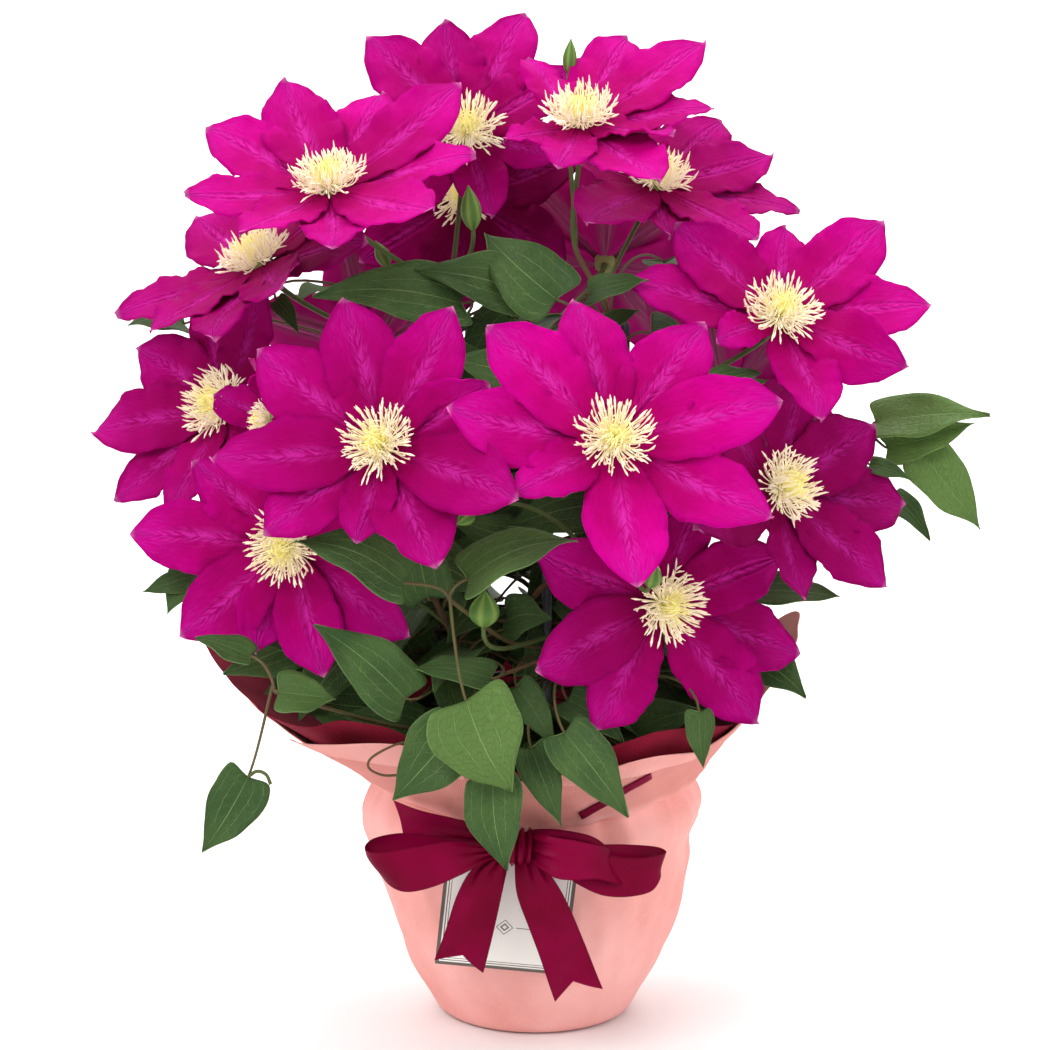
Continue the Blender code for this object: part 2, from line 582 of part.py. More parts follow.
def make_vine(number, material):
    """Build one climbing stem with its leaves, buds and flower stalks as one solid."""
    vine = VINES[number]
    path = vine_path(vine)
    count = len(path)
    radii = [STEM_RADIUS * (1.0 - 0.35 * i / (count - 1)) for i in range(count)]
    pieces = [tube(path, radii, STEM_SIDES)]
    blooms = {bloom[0]: bloom for bloom in BLOOMS}
    for name, owner, height, pull, *via in PEDICELS:
        if owner != number:
            continue
        bloom = blooms[name]
        facing = bloom_frame(bloom[2], bloom[3])[2]
        end = np.asarray(bloom[1], dtype=float) + facing * (HUB_BACK - STALK_GAP)
        i = stem_point(path, height)
        rise = unit(path[min(i + 1, count - 1)] - path[i - 1])
        curve = bezier(path[i], path[i] + rise * pull * 0.7, end - facing * pull, end, 5)
        if via:
            curve = smooth_path([path[i]] + list(via[0]) + [end - facing * pull, end], 1)
        pieces.append(tube(curve, PEDICEL_RADIUS, 4))
    for owner, height, points in SIDE_STALKS:
        if owner == number:
            start = path[stem_point(path, height)]
            pieces.append(tube(smooth_path([start] + list(points), 1), PETIOLE_RADIUS * 1.3, 4))
    for owner, height, base, tip, width, facing in LEAVES:
        if owner != number:
            continue
        surface = leaf_surface(base, tip, width, facing)
        pieces.append(blade(surface, LEAF_ROWS, LEAF_THICKNESS))
        along = unit(np.asarray(tip, dtype=float) - np.asarray(base, dtype=float))
        end = (surface(0.03, 1.0) + surface(0.03, -1.0)) * 0.5
        foot = (surface(0.0, 1.0) + surface(0.0, -1.0)) * 0.5
        start = np.asarray(height, dtype=float) if hasattr(height, "__len__") else path[
            stem_point(path, height)]
        span = np.linalg.norm(foot - start)
        curve = bezier(start, start + np.array((0, 0, 0.3 * span)),
                       foot - along * span * 0.28 + np.array((0, 0, 0.1 * span)), end, 3)
        taper = [PETIOLE_RADIUS] * (len(curve) - 1) + [LEAF_THICKNESS * 0.3]
        pieces.append(tube(curve, taper, 3))
    for owner, height, foot, tip, radius in BUDS:
        if owner != number:
            continue
        pieces.append(bud_solid(foot, tip, radius))
        foot, tip = np.asarray(foot, dtype=float), np.asarray(tip, dtype=float)
        along = unit(tip - foot)
        i = stem_point(path, height)
        span = np.linalg.norm(foot - path[i])
        curve = bezier(path[i], path[i] + np.array((0, 0, 0.3 * span)),
                       foot - along * span * 0.35, foot + along * 1.5, 4)
        pieces.append(tube(curve, PEDICEL_RADIUS, 4))
    return fuse(vine[0], pieces, material)


def collar_rim(angle):
    """Return the radius and height of the collar rim at a bearing in degrees."""
    bearings = [row[0] for row in COLLAR_RIM] + [COLLAR_RIM[0][0] + 360]
    radii = [row[1] for row in COLLAR_RIM] + [COLLAR_RIM[0][1]]
    heights = [row[2] for row in COLLAR_RIM] + [COLLAR_RIM[0][2]]
    angle = (angle + 180.0) % 360.0 - 180.0
    return np.interp(angle, bearings, radii), np.interp(angle, bearings, heights)


def wrap_shell(name, profile, inset, bottom, rim_share, material):
    """Build one wrap sheet as a cup: round base, narrow waist and a flaring collar."""
    sides = WRAP_SIDES
    outer, inner = [], []
    for k in range(sides):
        angle = 360.0 * (k + 0.5) / sides - 180.0
        heading = np.array([math.cos(math.radians(angle)), math.sin(math.radians(angle)), 0.0])
        rim_radius, rim_height = collar_rim(angle)
        waist_height, waist_radius = profile[-1]
        column_out, column_in = [], []
        for height, radius in profile:
            lift = bottom if height == 0 else 0.0
            column_out.append(heading * (radius - inset) + np.array([0, 0, height + lift]))
            column_in.append(heading * (radius - inset - SHEET_THICKNESS)
                             + np.array([0, 0, height + (lift + SHEET_THICKNESS if height == 0
                                                         else 0.0)]))
        for share in COLLAR_ROWS:
            share = share * rim_share
            radius = waist_radius + (rim_radius - waist_radius) * share ** COLLAR_CURVE
            height = waist_height + (rim_height - waist_height) * share
            slope = unit((rim_height - waist_height, -(rim_radius - waist_radius)))
            spot = np.array([0, 0, height]) + heading * radius
            shift = heading * slope[0] - np.array([0, 0, -slope[1]])
            column_out.append(spot - shift * inset)
            column_in.append(spot - shift * (inset + SHEET_THICKNESS))
        outer.append(column_out)
        inner.append(column_in)
    rows = len(outer[0])
    verts, faces = [], []
    for column_out, column_in in zip(outer, inner):
        verts += column_out + column_in
    stride = 2 * rows
    for k in range(sides):
        a, b = k * stride, ((k + 1) % sides) * stride
        for i in range(rows - 1):
            faces += [(a + i, b + i, b + i + 1), (a + i, b + i + 1, a + i + 1)]
            p, q = a + rows, b + rows
            faces += [(p + i, q + i + 1, q + i), (p + i, p + i + 1, q + i + 1)]
        faces += [(a + rows - 1, b + rows - 1, b + 2 * rows - 1),
                  (a + rows - 1, b + 2 * rows - 1, a + 2 * rows - 1)]
    under, floor = len(verts), len(verts) + 1
    verts += [(0, 0, bottom), (0, 0, bottom + SHEET_THICKNESS)]
    for k in range(sides):
        a, b = k * stride, ((k + 1) % sides) * stride
        faces += [(under, b, a), (floor, a + rows, b + rows)]
    return finish_solid(name, verts, faces, material)


def make_pot(material):
    """Build the plastic pot inside the wrap."""
    base = 2 * (SHEET_THICKNESS + CLEARANCE)
    base += CLEARANCE * 0.4
    slope = (POT_TOP_RADIUS - POT_BASE_RADIUS) / (POT_TOP - base)
    rim = POT_RIM_HEIGHT
    inner_top = POT_TOP_RADIUS - POT_WALL
    profile = ((0, base), (POT_BASE_RADIUS, base),
               (POT_TOP_RADIUS - POT_RIM_STEP - slope * rim, POT_TOP - rim), (POT_TOP_RADIUS, POT_TOP - rim),
               (POT_TOP_RADIUS, POT_TOP), (inner_top, POT_TOP),
               (POT_BASE_RADIUS - POT_WALL, base + POT_WALL), (0, base + POT_WALL))
    verts, faces = revolve(profile, ROUND_SIDES)
    return finish_solid("pot", verts, faces, material)


def make_soil(material):
    """Build the soil with a plain hole for each stem and pole."""
    base = 2 * (SHEET_THICKNESS + CLEARANCE) + POT_WALL
    top, foot = POT_TOP_RADIUS - POT_WALL, POT_BASE_RADIUS - POT_WALL

    def inside(height):
        share = (height - base) / (POT_TOP - base)
        return foot + (top - foot) * share - CLEARANCE * 1.2

    profile = ((0, base + CLEARANCE), (inside(base), base + CLEARANCE),
               (inside(SOIL_TOP), SOIL_TOP), (0, SOIL_TOP + SOIL_CROWN))
    verts, faces = revolve(profile, ROUND_SIDES)
    item = make_object("soil", verts, faces, material)
    tidy_mesh(item.data)
    cutters = []
    for _, x, y in POLES:
        cutters.append(tube([(x, y, POLE_BOTTOM - CLEARANCE), (x, y, SOIL_TOP + 20)],
                            POLE_RADIUS + HOLE_PLAY, POLE_SIDES))
    for _, (x, y), _ in VINES:
        cutters.append(tube([(x, y, SOIL_TOP - STEM_DEPTH - CLEARANCE), (x, y, SOIL_TOP + 20)],
                            STEM_RADIUS + HOLE_PLAY, STEM_SIDES))
    carve(item, cutters)
    return item


def make_trellis(material):
    """Build three upright poles with clips, and the ring arcs between them."""
    for name, x, y in POLES:
        steps = [(POLE_BOTTOM, POLE_RADIUS)]
        for _, height in RING_HEIGHTS:
            half = CLIP_HALF_HEIGHT
            steps += [(height - half - 0.5, POLE_RADIUS), (height - half, CLIP_RADIUS),
                      (height + half, CLIP_RADIUS), (height + half + 0.5, POLE_RADIUS)]
        steps += [(POLE_TOP, POLE_RADIUS), (POLE_TOP + 3.0, POLE_RADIUS * 0.5)]
        verts, faces = tube([(x, y, z) for z, _ in steps], [r for _, r in steps], POLE_SIDES)
        finish_solid(name, verts, faces, material)
    spots = sorted(POLES, key=lambda row: math.atan2(row[2], row[1]))
    for level, height in RING_HEIGHTS:
        for i, (name, x, y) in enumerate(spots):
            _, nx, ny = spots[(i + 1) % 3]
            start, end = math.atan2(y, x), math.atan2(ny, nx)
            if end < start:
                end += 2 * math.pi
            first, last = math.hypot(x, y), math.hypot(nx, ny)
            gap = math.asin((CLIP_RADIUS + STALK_GAP) / RING_SPACING)
            path = []
            for k in range(6):
                share = k / 5
                angle = start + gap + (end - start - 2 * gap) * share
                radius = first + (last - first) * share + RING_BULGE * math.sin(math.pi * share)
                path.append((radius * math.cos(angle), radius * math.sin(angle), height))
            arc = "ring_%s_%s" % (level, "abc"[i])
            verts, faces = tube(path, RING_RADIUS, 4)
            finish_solid(arc, verts, faces, material)


def strip(path, widths, directions, thickness):
    """Build a ribbon strip: a centre path, half widths and sideways directions."""
    path = [np.asarray(p, dtype=float) for p in path]
    count = len(path)
    verts, faces = [], []
    for i in range(count):
        tangent = unit(path[min(i + 1, count - 1)] - path[max(i - 1, 0)])
        side = np.asarray(directions[i], dtype=float)
        side = unit(side - tangent * (side @ tangent))
        normal = np.cross(tangent, side)
        for up in (0.5, -0.5):
            for way in (-1.0, 1.0):
                verts.append(path[i] + side * way * widths[i] + normal * up * thickness)
    for i in range(count - 1):
        a, b = 4 * i, 4 * (i + 1)
        faces += [(a, a + 1, b + 1), (a, b + 1, b), (a + 2, b + 3, a + 3), (a + 2, b + 2, b + 3)]
        faces += [(a, b, b + 2), (a, b + 2, a + 2), (a + 1, b + 3, b + 1), (a + 1, a + 3, b + 3)]
    faces += [(0, 2, 3), (0, 3, 1)]
    a = 4 * (count - 1)
    faces += [(a, a + 3, a + 2), (a, a + 1, a + 3)]
    return verts, faces


def make_bow(material):
    """Build the satin bow: knot, loops, tails and the arm that runs under the wrap fold."""
    thick = RIBBON_THICKNESS
    upright = (0, -0.12, 1)
    knot = tube([(-8, -89.0, 88), (-8, -89.6, 98), (-8, -89.0, 106)], [6.0, 7.5, 5.5], 8)
    left = strip([(-8, -92, 98), (-30, -97, 96), (-54, -96, 92), (-72, -91, 89), (-75.5, -87, 89),
                  (-70, -84.5, 90), (-44, -86.5, 94), (-26, -88.0, 97)],
                 [5, 9, 11.5, 12, 11.5, 11, 9, 7], [upright] * 8, thick)
    right_front = strip([(-8, -92, 98), (8, -98, 98), (22, -100, 94), (33, -97, 90),
                         (35.5, -93, 89), (31, -90.5, 90), (14, -90.5, 95), (2, -90.5, 97)],
                        [5, 10, 12.5, 11, 10, 9, 8, 6], [upright] * 8, thick)
    right_back = strip([(-4, -89, 99), (20, -86.5, 97), (42, -83.5, 91), (55, -80, 87),
                        (59, -76.5, 86.5)],
                       [5, 8, 10, 10.5, 10], [upright] * 5, thick)
    tail_left = strip([(-8, -92, 94), (-17, -95, 78), (-24, -91, 62), (-30, -84, 46),
                       (-34, -80, 38)],
                      [5, 9, 11, 12, 12.5], [(1, 0, 0.25)] * 5, thick)
    tail_right = strip([(-6, -92, 94), (3, -95.5, 78), (9, -90, 60), (17, -81.5, 42),
                        (24, -75.5, 28)],
                       [5, 9, 11, 12, 12.5], [(1, 0, -0.3)] * 5, thick)
    arm = strip([(-10, -89, 100), (-30, -88, 105), (-48, -81, 109), (-62, -71.5, 112)],
                [5, 7, 8, 8], [upright] * 4, thick)
    pieces = []
    for verts, faces in (knot, left, right_front, right_back, tail_left, tail_right, arm):
        pieces.append(([np.asarray(v) + np.asarray(BOW_SEAT) for v in verts], faces))
    return fuse("ribbon_bow", pieces, material)


def make_card(material):
    """Build the greeting card leaning on the wrap."""
    lean, turn = math.radians(CARD_LEAN), math.radians(CARD_TURN)
    centre = np.asarray(CARD_CENTRE, dtype=float)
    verts = []
    for z in (-0.5, 0.5):
        for y in (-0.5, 0.5):
            for x in (-0.5, 0.5):
                px, pz = x * CARD_WIDTH, z * CARD_HEIGHT
                px, pz = (px * math.cos(turn) + pz * math.sin(turn),
                          -px * math.sin(turn) + pz * math.cos(turn))
                depth = y * CARD_THICKNESS
                verts.append(centre + np.array([px, depth * math.cos(lean) - pz * math.sin(lean),
                                                pz * math.cos(lean) + depth * math.sin(lean)]))
    faces = [(0, 1, 3, 2), (4, 6, 7, 5), (0, 4, 5, 1), (2, 3, 7, 6), (0, 2, 6, 4), (1, 5, 7, 3)]
    return finish_solid("card", verts, faces, material)


def main():
    """Build every part."""
    clear_scene()
    petal = make_material("petal_magenta", PETAL_COLOUR, 0.55)
    stamen = make_material("stamen_cream", STAMEN_COLOUR, 0.7)
    leaf = make_material("leaf_green", LEAF_COLOUR, 0.5)
    wrap = make_material("wrap_salmon", WRAP_COLOUR, 0.85)
    lining = make_material("wrap_burgundy", LINING_COLOUR, 0.85)
    ribbon = make_material("ribbon_satin", RIBBON_COLOUR, 0.35)
    card = make_material("card_cream", CARD_COLOUR, 0.6)
    pot = make_material("pot_plastic", POT_COLOUR, 0.5)
    soil = make_material("soil_dark", SOIL_COLOUR, 0.95)
    pole = make_material("trellis_coated", POLE_COLOUR, 0.45)
    wrap_shell("wrap_outer", WRAP_PROFILE, 0.0, 0.0, 1.0, wrap)
    inset = SHEET_THICKNESS + CLEARANCE
    wrap_shell("wrap_lining", (WRAP_PROFILE[0], WRAP_PROFILE[-1]), inset, inset, LINING_REACH, lining)
    make_pot(pot)
    make_soil(soil)
    make_trellis(pole)
    make_bow(ribbon)
    make_card(card)
    for number in range(len(VINES)):
        make_vine(number, leaf)
    for bloom in BLOOMS:
        make_bloom(bloom, petal)
        make_stamens(bloom, stamen)


main()
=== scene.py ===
"""Looks of the gift clematis: fine blooms, leaves, stems, wrap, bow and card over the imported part.

Sizes and places are written in millimetres, as on the real plant, and MM turns them into metres.
"""
import math

import bmesh
import bpy
import numpy as np
from bpy.props import FloatProperty, FloatVectorProperty, IntProperty, PointerProperty
from mathutils import Matrix, Vector


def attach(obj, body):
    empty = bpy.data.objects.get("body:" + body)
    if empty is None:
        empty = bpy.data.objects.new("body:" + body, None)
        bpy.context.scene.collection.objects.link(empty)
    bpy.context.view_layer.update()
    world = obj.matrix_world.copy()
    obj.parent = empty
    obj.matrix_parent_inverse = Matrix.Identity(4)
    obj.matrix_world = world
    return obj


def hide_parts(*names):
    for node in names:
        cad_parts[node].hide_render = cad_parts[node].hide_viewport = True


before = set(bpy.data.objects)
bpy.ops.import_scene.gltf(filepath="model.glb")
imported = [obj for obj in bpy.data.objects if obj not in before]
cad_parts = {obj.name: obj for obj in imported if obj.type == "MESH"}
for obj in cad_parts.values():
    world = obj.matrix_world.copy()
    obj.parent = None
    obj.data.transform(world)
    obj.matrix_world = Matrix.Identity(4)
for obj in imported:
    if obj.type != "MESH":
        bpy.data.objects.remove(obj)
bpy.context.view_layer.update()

bl_info = {
    "name": "Gift clematis",
    "version": (1, 0, 0),
    "blender": (4, 5, 0),
    "location": "3D View > Sidebar > Clematis",
    "description": "Dresses a wrapped clematis on its lantern trellis",
    "category": "Add Mesh",
}

MM = 0.001
BODY = "root"

# Sizes shared with the solids
HUB_BACK = -1.6
HUB_FRONT = 2.4
STALK_GAP = 0.8
CLEARANCE = 0.35
PETAL_START = 4.5
PETAL_HALF_WIDTH = 16.2
WHORL_STEP = 0.75
STEM_RADIUS = 1.8
PEDICEL_RADIUS = 1.1
PETIOLE_RADIUS = 0.8
SOIL_TOP = 100.0
POT_BASE_RADIUS = 38.5
POT_TOP_RADIUS = 66.0
POT_TOP = 114.0
POT_WALL = 2.2
SHEET_THICKNESS = 0.8
WAIST = (101.0, 75.5)
BODY_PROFILE = ((0.0, 40.2), (1.2, 43.0), (4.0, 45.4), (8.0, 47.5), (26.0, 57.0), (58.0, 68.2),
                (84.0, 73.4), WAIST)
COLLAR_RIM = (
    (-180, 155, 172), (-168, 141, 157), (-154, 130, 146), (-140, 120, 139), (-124, 104, 141),
    (-106, 92, 132), (-90, 89, 130), (-72, 90, 130), (-56, 98, 137), (-38, 104, 142),
    (-22, 110, 156), (-8, 118, 174), (6, 121, 182), (24, 112, 168), (46, 116, 172),
    (68, 126, 184), (88, 112, 168), (108, 110, 160), (130, 122, 172), (150, 134, 186),
    (166, 140, 176),
)
# How far each sheet climbs the collar, as (bearing, outer sheet, lining, lift of the lining)
COLLAR_TOPS = (
    (-180, 0.92, 0.97, 1.0), (-168, 0.87, 0.98, 1.5), (-157, 0.81, 1.00, 2.5),
    (-150, 0.79, 1.00, 4.0), (-143, 0.84, 1.00, 7.5), (-136, 0.94, 1.00, 12.0),
    (-129, 0.93, 1.00, 10.0), (-122, 0.92, 1.00, 5.0), (-112, 0.92, 0.98, 2.0),
    (-98, 0.90, 1.00, 2.0), (-85, 0.95, 0.97, 4.0), (-75, 1.00, 1.00, 8.5),
    (-66, 1.03, 1.00, 11.0), (-59, 1.00, 1.00, 11.0), (-52, 0.92, 1.00, 9.6),
    (-45, 0.84, 1.00, 7.5), (-38, 0.97, 1.00, 3.8), (-31, 1.00, 0.97, 0.0),
    (-20, 1.00, 0.86, 0.0), (-8, 1.00, 0.74, 0.0), (6, 1.00, 0.70, 0.0), (24, 1.00, 0.80, 0.0),
    (46, 0.95, 1.00, 2.0), (68, 1.00, 0.94, 0.0), (88, 0.90, 1.00, 3.0), (108, 0.95, 1.00, 2.0),
    (130, 1.00, 0.90, 0.0), (150, 0.92, 1.00, 2.0), (166, 1.00, 0.93, 0.0),
)
# Corners folded over the collar: bearing, foot and top as shares of the collar
LEFT_FOLD = ((-146, 1.00, 1.02), (-141, 0.88, 1.05), (-135, 0.79, 1.07), (-127, 0.74, 1.08),
             (-118, 0.74, 1.07), (-109, 0.82, 1.03))
RIGHT_FOLD = ((-84, 0.84, 1.01), (-76, 0.82, 1.07), (-67, 0.82, 1.12), (-60, 0.78, 1.06),
              (-52, 0.76, 0.97), (-44, 0.76, 0.85))
# Soft dents and bulges of the body as (bearing, height, width in degrees, tallness, depth)
DENTS = ((-6, 84, 22, 7, -3.0), (-3, 44, 32, 24, 3.0), (-2, 66, 20, 8, -0.6),
         (-178, 89, 26, 12, 4.0), (-178, 70, 20, 8, 3.0), (-176, 20, 30, 14, 1.7),
         (-150, 52, 26, 16, 1.2), (-36, 40, 22, 13, -1.8), (-112, 30, 22, 11, 0.9),
         (40, 62, 20, 12, -2.4), (96, 70, 26, 10, -2.2), (142, 44, 22, 14, 1.5))
POLE_RADIUS = 2.0
POLE_BOTTOM = 56.0
POLE_TOP = 311.0
CLIP_RADIUS = 3.4
RING_RADIUS = 1.3
POLES = (("trellis_pole_front", 5.0, -46.0), ("trellis_pole_right", 41.0, 21.0),
         ("trellis_pole_back", -30.0, 35.0))
RING_HEIGHTS = (("low", 146.0), ("high", 258.0))
CARD_WIDTH = 57.0
CARD_HEIGHT = 60.0
CARD_THICKNESS = 0.8
CARD_CENTRE = (-12.5, -71.5, 66.0)
CARD_LEAN = 15.0
CARD_MARK = 0.36
CARD_TURN = 6.0
BOW_SEAT = (0.0, 2.45, 0.0)

# Ribbon strips of the bow: pinched ends, notch, then rows that place both edges
BOW_STRIPS = (
    ((1, 1), 0, ((-8.3, -90, 102.5, -9.2, -90, 95.4), (-20.6, -95, 100.3, -19.8, -96, 94.5),
                 (-35.4, -99, 103.6, -31.1, -101, 89.8), (-49.7, -101, 102.0, -43.8, -103, 84.7),
                 (-61.6, -99, 99.2, -54.9, -101, 81.9), (-69.5, -94, 97.4, -62.2, -97, 83.4),
                 (-72.8, -88, 98.0, -66.7, -91, 87.8), (-69.2, -83, 100.6, -64.0, -85, 88.7),
                 (-57.7, -81, 102.2, -54.3, -82, 87.9), (-43.0, -83, 101.4, -41.0, -83, 89.1),
                 (-28.4, -87, 101.2, -27.2, -86, 91.7), (-10.0, -89, 100.9, -10.0, -88, 94.9))),
    ((1, 1), 0, ((-4.9, -88, 101.9, -4.9, -88, 94.9), (10.4, -91, 100.1, 8.7, -92, 89.0),
                 (23.1, -93, 98.0, 19.7, -95, 82.8), (32.9, -93, 95.4, 29.1, -95, 78.8),
                 (44.5, -90, 93.7, 40.3, -92, 77.5), (53.3, -85, 93.6, 49.8, -88, 79.0),
                 (56.5, -80, 94.0, 53.4, -83, 84.6), (51.5, -76, 95.1, 49.3, -78, 85.9),
                 (37.7, -77, 96.3, 37.3, -78, 86.8), (21.2, -81, 97.4, 21.7, -81, 89.4),
                 (-2.4, -87, 100.8, -2.4, -87, 94.6))),
    ((1, 1), 0, ((-4.9, -92, 105.6, -4.1, -93, 94.5), (2.3, -98, 106.4, 1.8, -99, 91.4),
                 (8.6, -101, 105.9, 8.6, -103, 88.6), (16.6, -101, 104.6, 16.2, -103, 87.7),
                 (24.7, -98, 102.0, 26.4, -100, 87.3), (29.0, -94, 100.0, 35.0, -96, 84.0),
                 (30.9, -90, 98.1, 36.0, -91, 84.3), (26.6, -89, 101.7, 30.1, -89, 90.8),
                 (19.8, -90, 104.7, 22.4, -89, 92.5), (8.3, -91, 106.7, 9.6, -90, 95.4),
                 (-3.2, -91, 106.2, -2.4, -90, 95.4))),
    ((1, 0), 8, ((-16.0, -91, 99.2, -9.2, -91, 97.5), (-21.9, -94, 93.9, -11.7, -95, 92.4),
                 (-28.3, -95, 88.9, -13.0, -96, 86.6), (-33.9, -94, 77.7, -15.1, -95, 75.8),
                 (-38.3, -90, 62.8, -18.6, -91, 58.7), (-43.7, -84.5, 46.4, -22.6, -84.5, 41.0))),
    ((1, 0), 9, ((-8.3, -91, 98.3, -1.5, -91, 99.2), (-8.7, -95, 91.1, 3.1, -95, 92.4),
                 (-7.9, -96, 79.6, 9.1, -96, 84.0), (-3.2, -93, 65.0, 14.2, -94, 73.7),
                 (2.4, -87.5, 47.8, 20.8, -89, 56.3), (8.5, -78.5, 26.5, 29.3, -80, 32.4))),
    ((0, 1), 0, ((-61.0, -72.5, 114.6, -57.1, -74, 99.0), (-50.5, -77.5, 111.9, -47.9, -79, 98.6),
                 (-36.6, -83, 109.8, -34.9, -85, 98.5), (-23.7, -87, 107.8, -22.0, -88, 98.0),
                 (-10.0, -89, 103.9, -10.0, -89, 96.9))),
    ((1, 1), 0, ((-11.6, -86, 104.0, -2.6, -86, 105.0), (-12.2, -93, 105.6, -2.0, -93.5, 106.6),
                 (-12.6, -99, 101.5, -1.6, -100, 102.0), (-12.2, -98.5, 95.5, -2.2, -99, 96.0),
                 (-11.4, -92, 92.0, -3.0, -92, 92.5), (-11.0, -86, 92.4, -3.4, -86, 92.6))),
)

# Phase turned per metre by the woven lines of the wrap, 0.9 mm apart
WEAVE_TURNS = 6980.0
# Middle of a patch of the collar with painted lilac-grey shade on its woven lines
SHADED_PATCH = (0.034, -0.082, 0.112)

# Fold on the midrib and sag along it, as shares of the leaf
LEAF_FOLD = 0.14
LEAF_SAG = 0.09

# Blooms: name, centre, bearing, elevation, lift, cup, petals as (angle, length)
BLOOMS = (
    ("01", (-88, -40, 376), -11, 57, 0.20, 0.10,
     ((154, 68), (117, 67), (79, 62), (49, 75), (10, 64), (-35, 67), (-76, 56), (-118, 56),
      (-160, 61))),
    ("02", (-31, 20, 398), 4, 33, 0.02, 0.14,
     ((66, 72), (132, 65), (98, 60), (33, 58), (-17, 42), (-78, 46), (-135, 52), (176, 58))),
    ("03", (20, -10, 403), -4, 59, 0.14, 0.12,
     ((74, 67), (42, 72), (6, 58), (-26, 46), (-58, 67), (-100, 46), (-149, 38), (120, 50))),
    ("04", (54, 30, 375), 25, 58, 0.10, 0.10,
     ((40, 71), (8, 63), (-26, 67), (-66, 61), (-106, 46), (-142, 68), (150, 46), (84, 50))),
    ("05", (106, -30, 320), 9, 43, 0.05, 0.12,
     ((162, 68), (130, 63), (78, 52), (42, 72), (4, 69), (-32, 60), (-80, 56), (-154, 34))),
    ("06", (-121, -10, 342), -51, 56, 0.11, 0.10,
     ((-134, 70), (165, 66), (118, 58), (68, 58), (14, 66), (-24, 60), (-58, 65), (-96, 60))),
    ("07", (-137, -20, 279), -40, 26, 0.14, 0.12,
     ((160, 62), (-162, 68), (-128, 64), (-92, 52), (122, 56), (80, 56), (-52, 46))),
    ("08", (-106, -60, 225), -17, -4, 0.12, 0.10,
     ((178, 72), (-140, 63), (-108, 50), (-72, 58), (-32, 67), (12, 52), (138, 54))),
    ("09", (-63, -105, 273), -19, 27, 0.16, 0.12,
     ((112, 67), (66, 63), (148, 71), (-170, 71), (-134, 60), (-92, 44), (-56, 64), (-20, 71),
      (30, 52))),
    ("10", (31, -120, 277), 8, 27, 0.08, 0.10,
     ((101, 63), (136, 69), (50, 65), (11, 72), (-28, 72), (-86, 64), (168, 69), (-152, 48))),
    ("11", (104, -60, 249), 42, 21, 0.10, 0.12,
     ((58, 52), (20, 62), (-12, 74), (-52, 64), (-98, 50), (-168, 62), (128, 50))),
    ("12", (54, -70, 201), 28, 4, 0.08, 0.10,
     ((156, 66), (-162, 70), (-126, 62), (-53, 68), (-22, 73), (16, 60), (66, 48), (110, 46))),
    ("13", (-33, 74, 368), -6, 16, 0.10, 0.10,
     ((20, 60), (64, 50), (118, 50), (166, 60), (-146, 58), (-92, 60), (-36, 60))),
    ("14", (-112, -58, 278), -64, 12, 0.50, 0.30,
     ((170, 34), (100, 25), (28, 22), (-44, 22), (-118, 24))),
    ("15", (34, 112, 334), 172, 24, 0.10, 0.12,
     ((0, 66), (48, 62), (94, 66), (140, 62), (-172, 66), (-120, 64), (-62, 66))),
    ("16", (-78, 98, 296), -148, 26, 0.12, 0.10,
     ((14, 66), (66, 62), (112, 66), (158, 64), (-150, 66), (-98, 62), (-44, 66))),
    ("17", (92, 84, 272), 134, 18, 0.10, 0.12,
     ((-8, 64), (40, 66), (90, 60), (138, 66), (-170, 62), (-112, 66), (-58, 62))),
)

# How much painted shade each bloom gets, from light to deep
BLOOM_SHADES = {"01": 0.06, "02": 0.34, "03": 0.12, "04": 0.34, "05": 0.16, "06": 0.42, "07": 0.38,
                "08": 0.20, "09": 0.30, "10": 0.0, "11": 0.72, "12": 0.48, "13": 0.80, "14": 0.30}
# Petals that turn their back or edge forward, in degrees about their length
TWISTS = {("05", 5): 62, ("09", 6): -38, ("09", 8): 55, ("10", 7): 20, ("03", 3): -30,
          ("03", 7): 28, ("01", 3): 18, ("14", 1): 150, ("14", 0): 30, ("08", 2): -35,
          ("06", 4): 24, ("12", 4): -22}

# Main stems: name, soil hole, path above the soil
VINES = (
    ("vine_front_right", (14, -27), ((14, -27, 120), (17, -33, 160), (24, -56, 206), (29, -80, 240))),
    ("vine_front_left", (-20, -24), ((-20, -24, 120), (-28, -32, 160), (-44, -50, 200),
                                     (-58, -64, 236))),
    ("vine_right", (27, -2), ((27, -2, 120), (30, -6, 190), (34, -8, 260), (34, -4, 312),
                              (18, 9, 347))),
    ("vine_left", (-29, 4), ((-29, 4, 120), (-33, 2, 190), (-38, -2, 260), (-40, 2, 310),
                             (-36, 8, 345))),
    ("vine_back", (2, 28), ((2, 28, 120), (0, 34, 190), (2, 38, 250), (0, 40, 290), (-4, 44, 322))),
)

# Which stem carries each bloom, the height where its stalk leaves, how straight it runs, and
# the way points of a stalk that has to pass between petals
PEDICELS = (
    ("10", 0, 232, 30), ("12", 0, 176, 22), ("11", 0, 200, 26),
    ("09", 1, 230, 26), ("08", 1, 186, 20), ("14", 1, 214, 20), ("07", 1, 204, 26),
    ("05", 2, 262, 30), ("04", 2, 320, 20), ("03", 2, 342, 24),
    ("06", 3, 280, 30), ("01", 3, 318, 30), ("02", 3, 338, 22),
    ("15", 4, 290, 30), ("16", 4, 250, 26), ("17", 4, 226, 26),
    ("13", 4, 290, 8, ((-6, 60, 304), (-14, 76, 326), (-26, 90, 346))),
)

# Side stalks that carry several leaves: stem, height, way points
SIDE_STALKS = (
    (1, 136, ((-60, -64, 146), (-98, -86, 162), (-110, -94, 168))),
    (2, 236, ((84, 8, 244), (128, 10, 256), (152, 6, 262))),
    (0, 176, ((-10, -70, 184), (-26, -96, 200), (-36, -108, 210))),
)

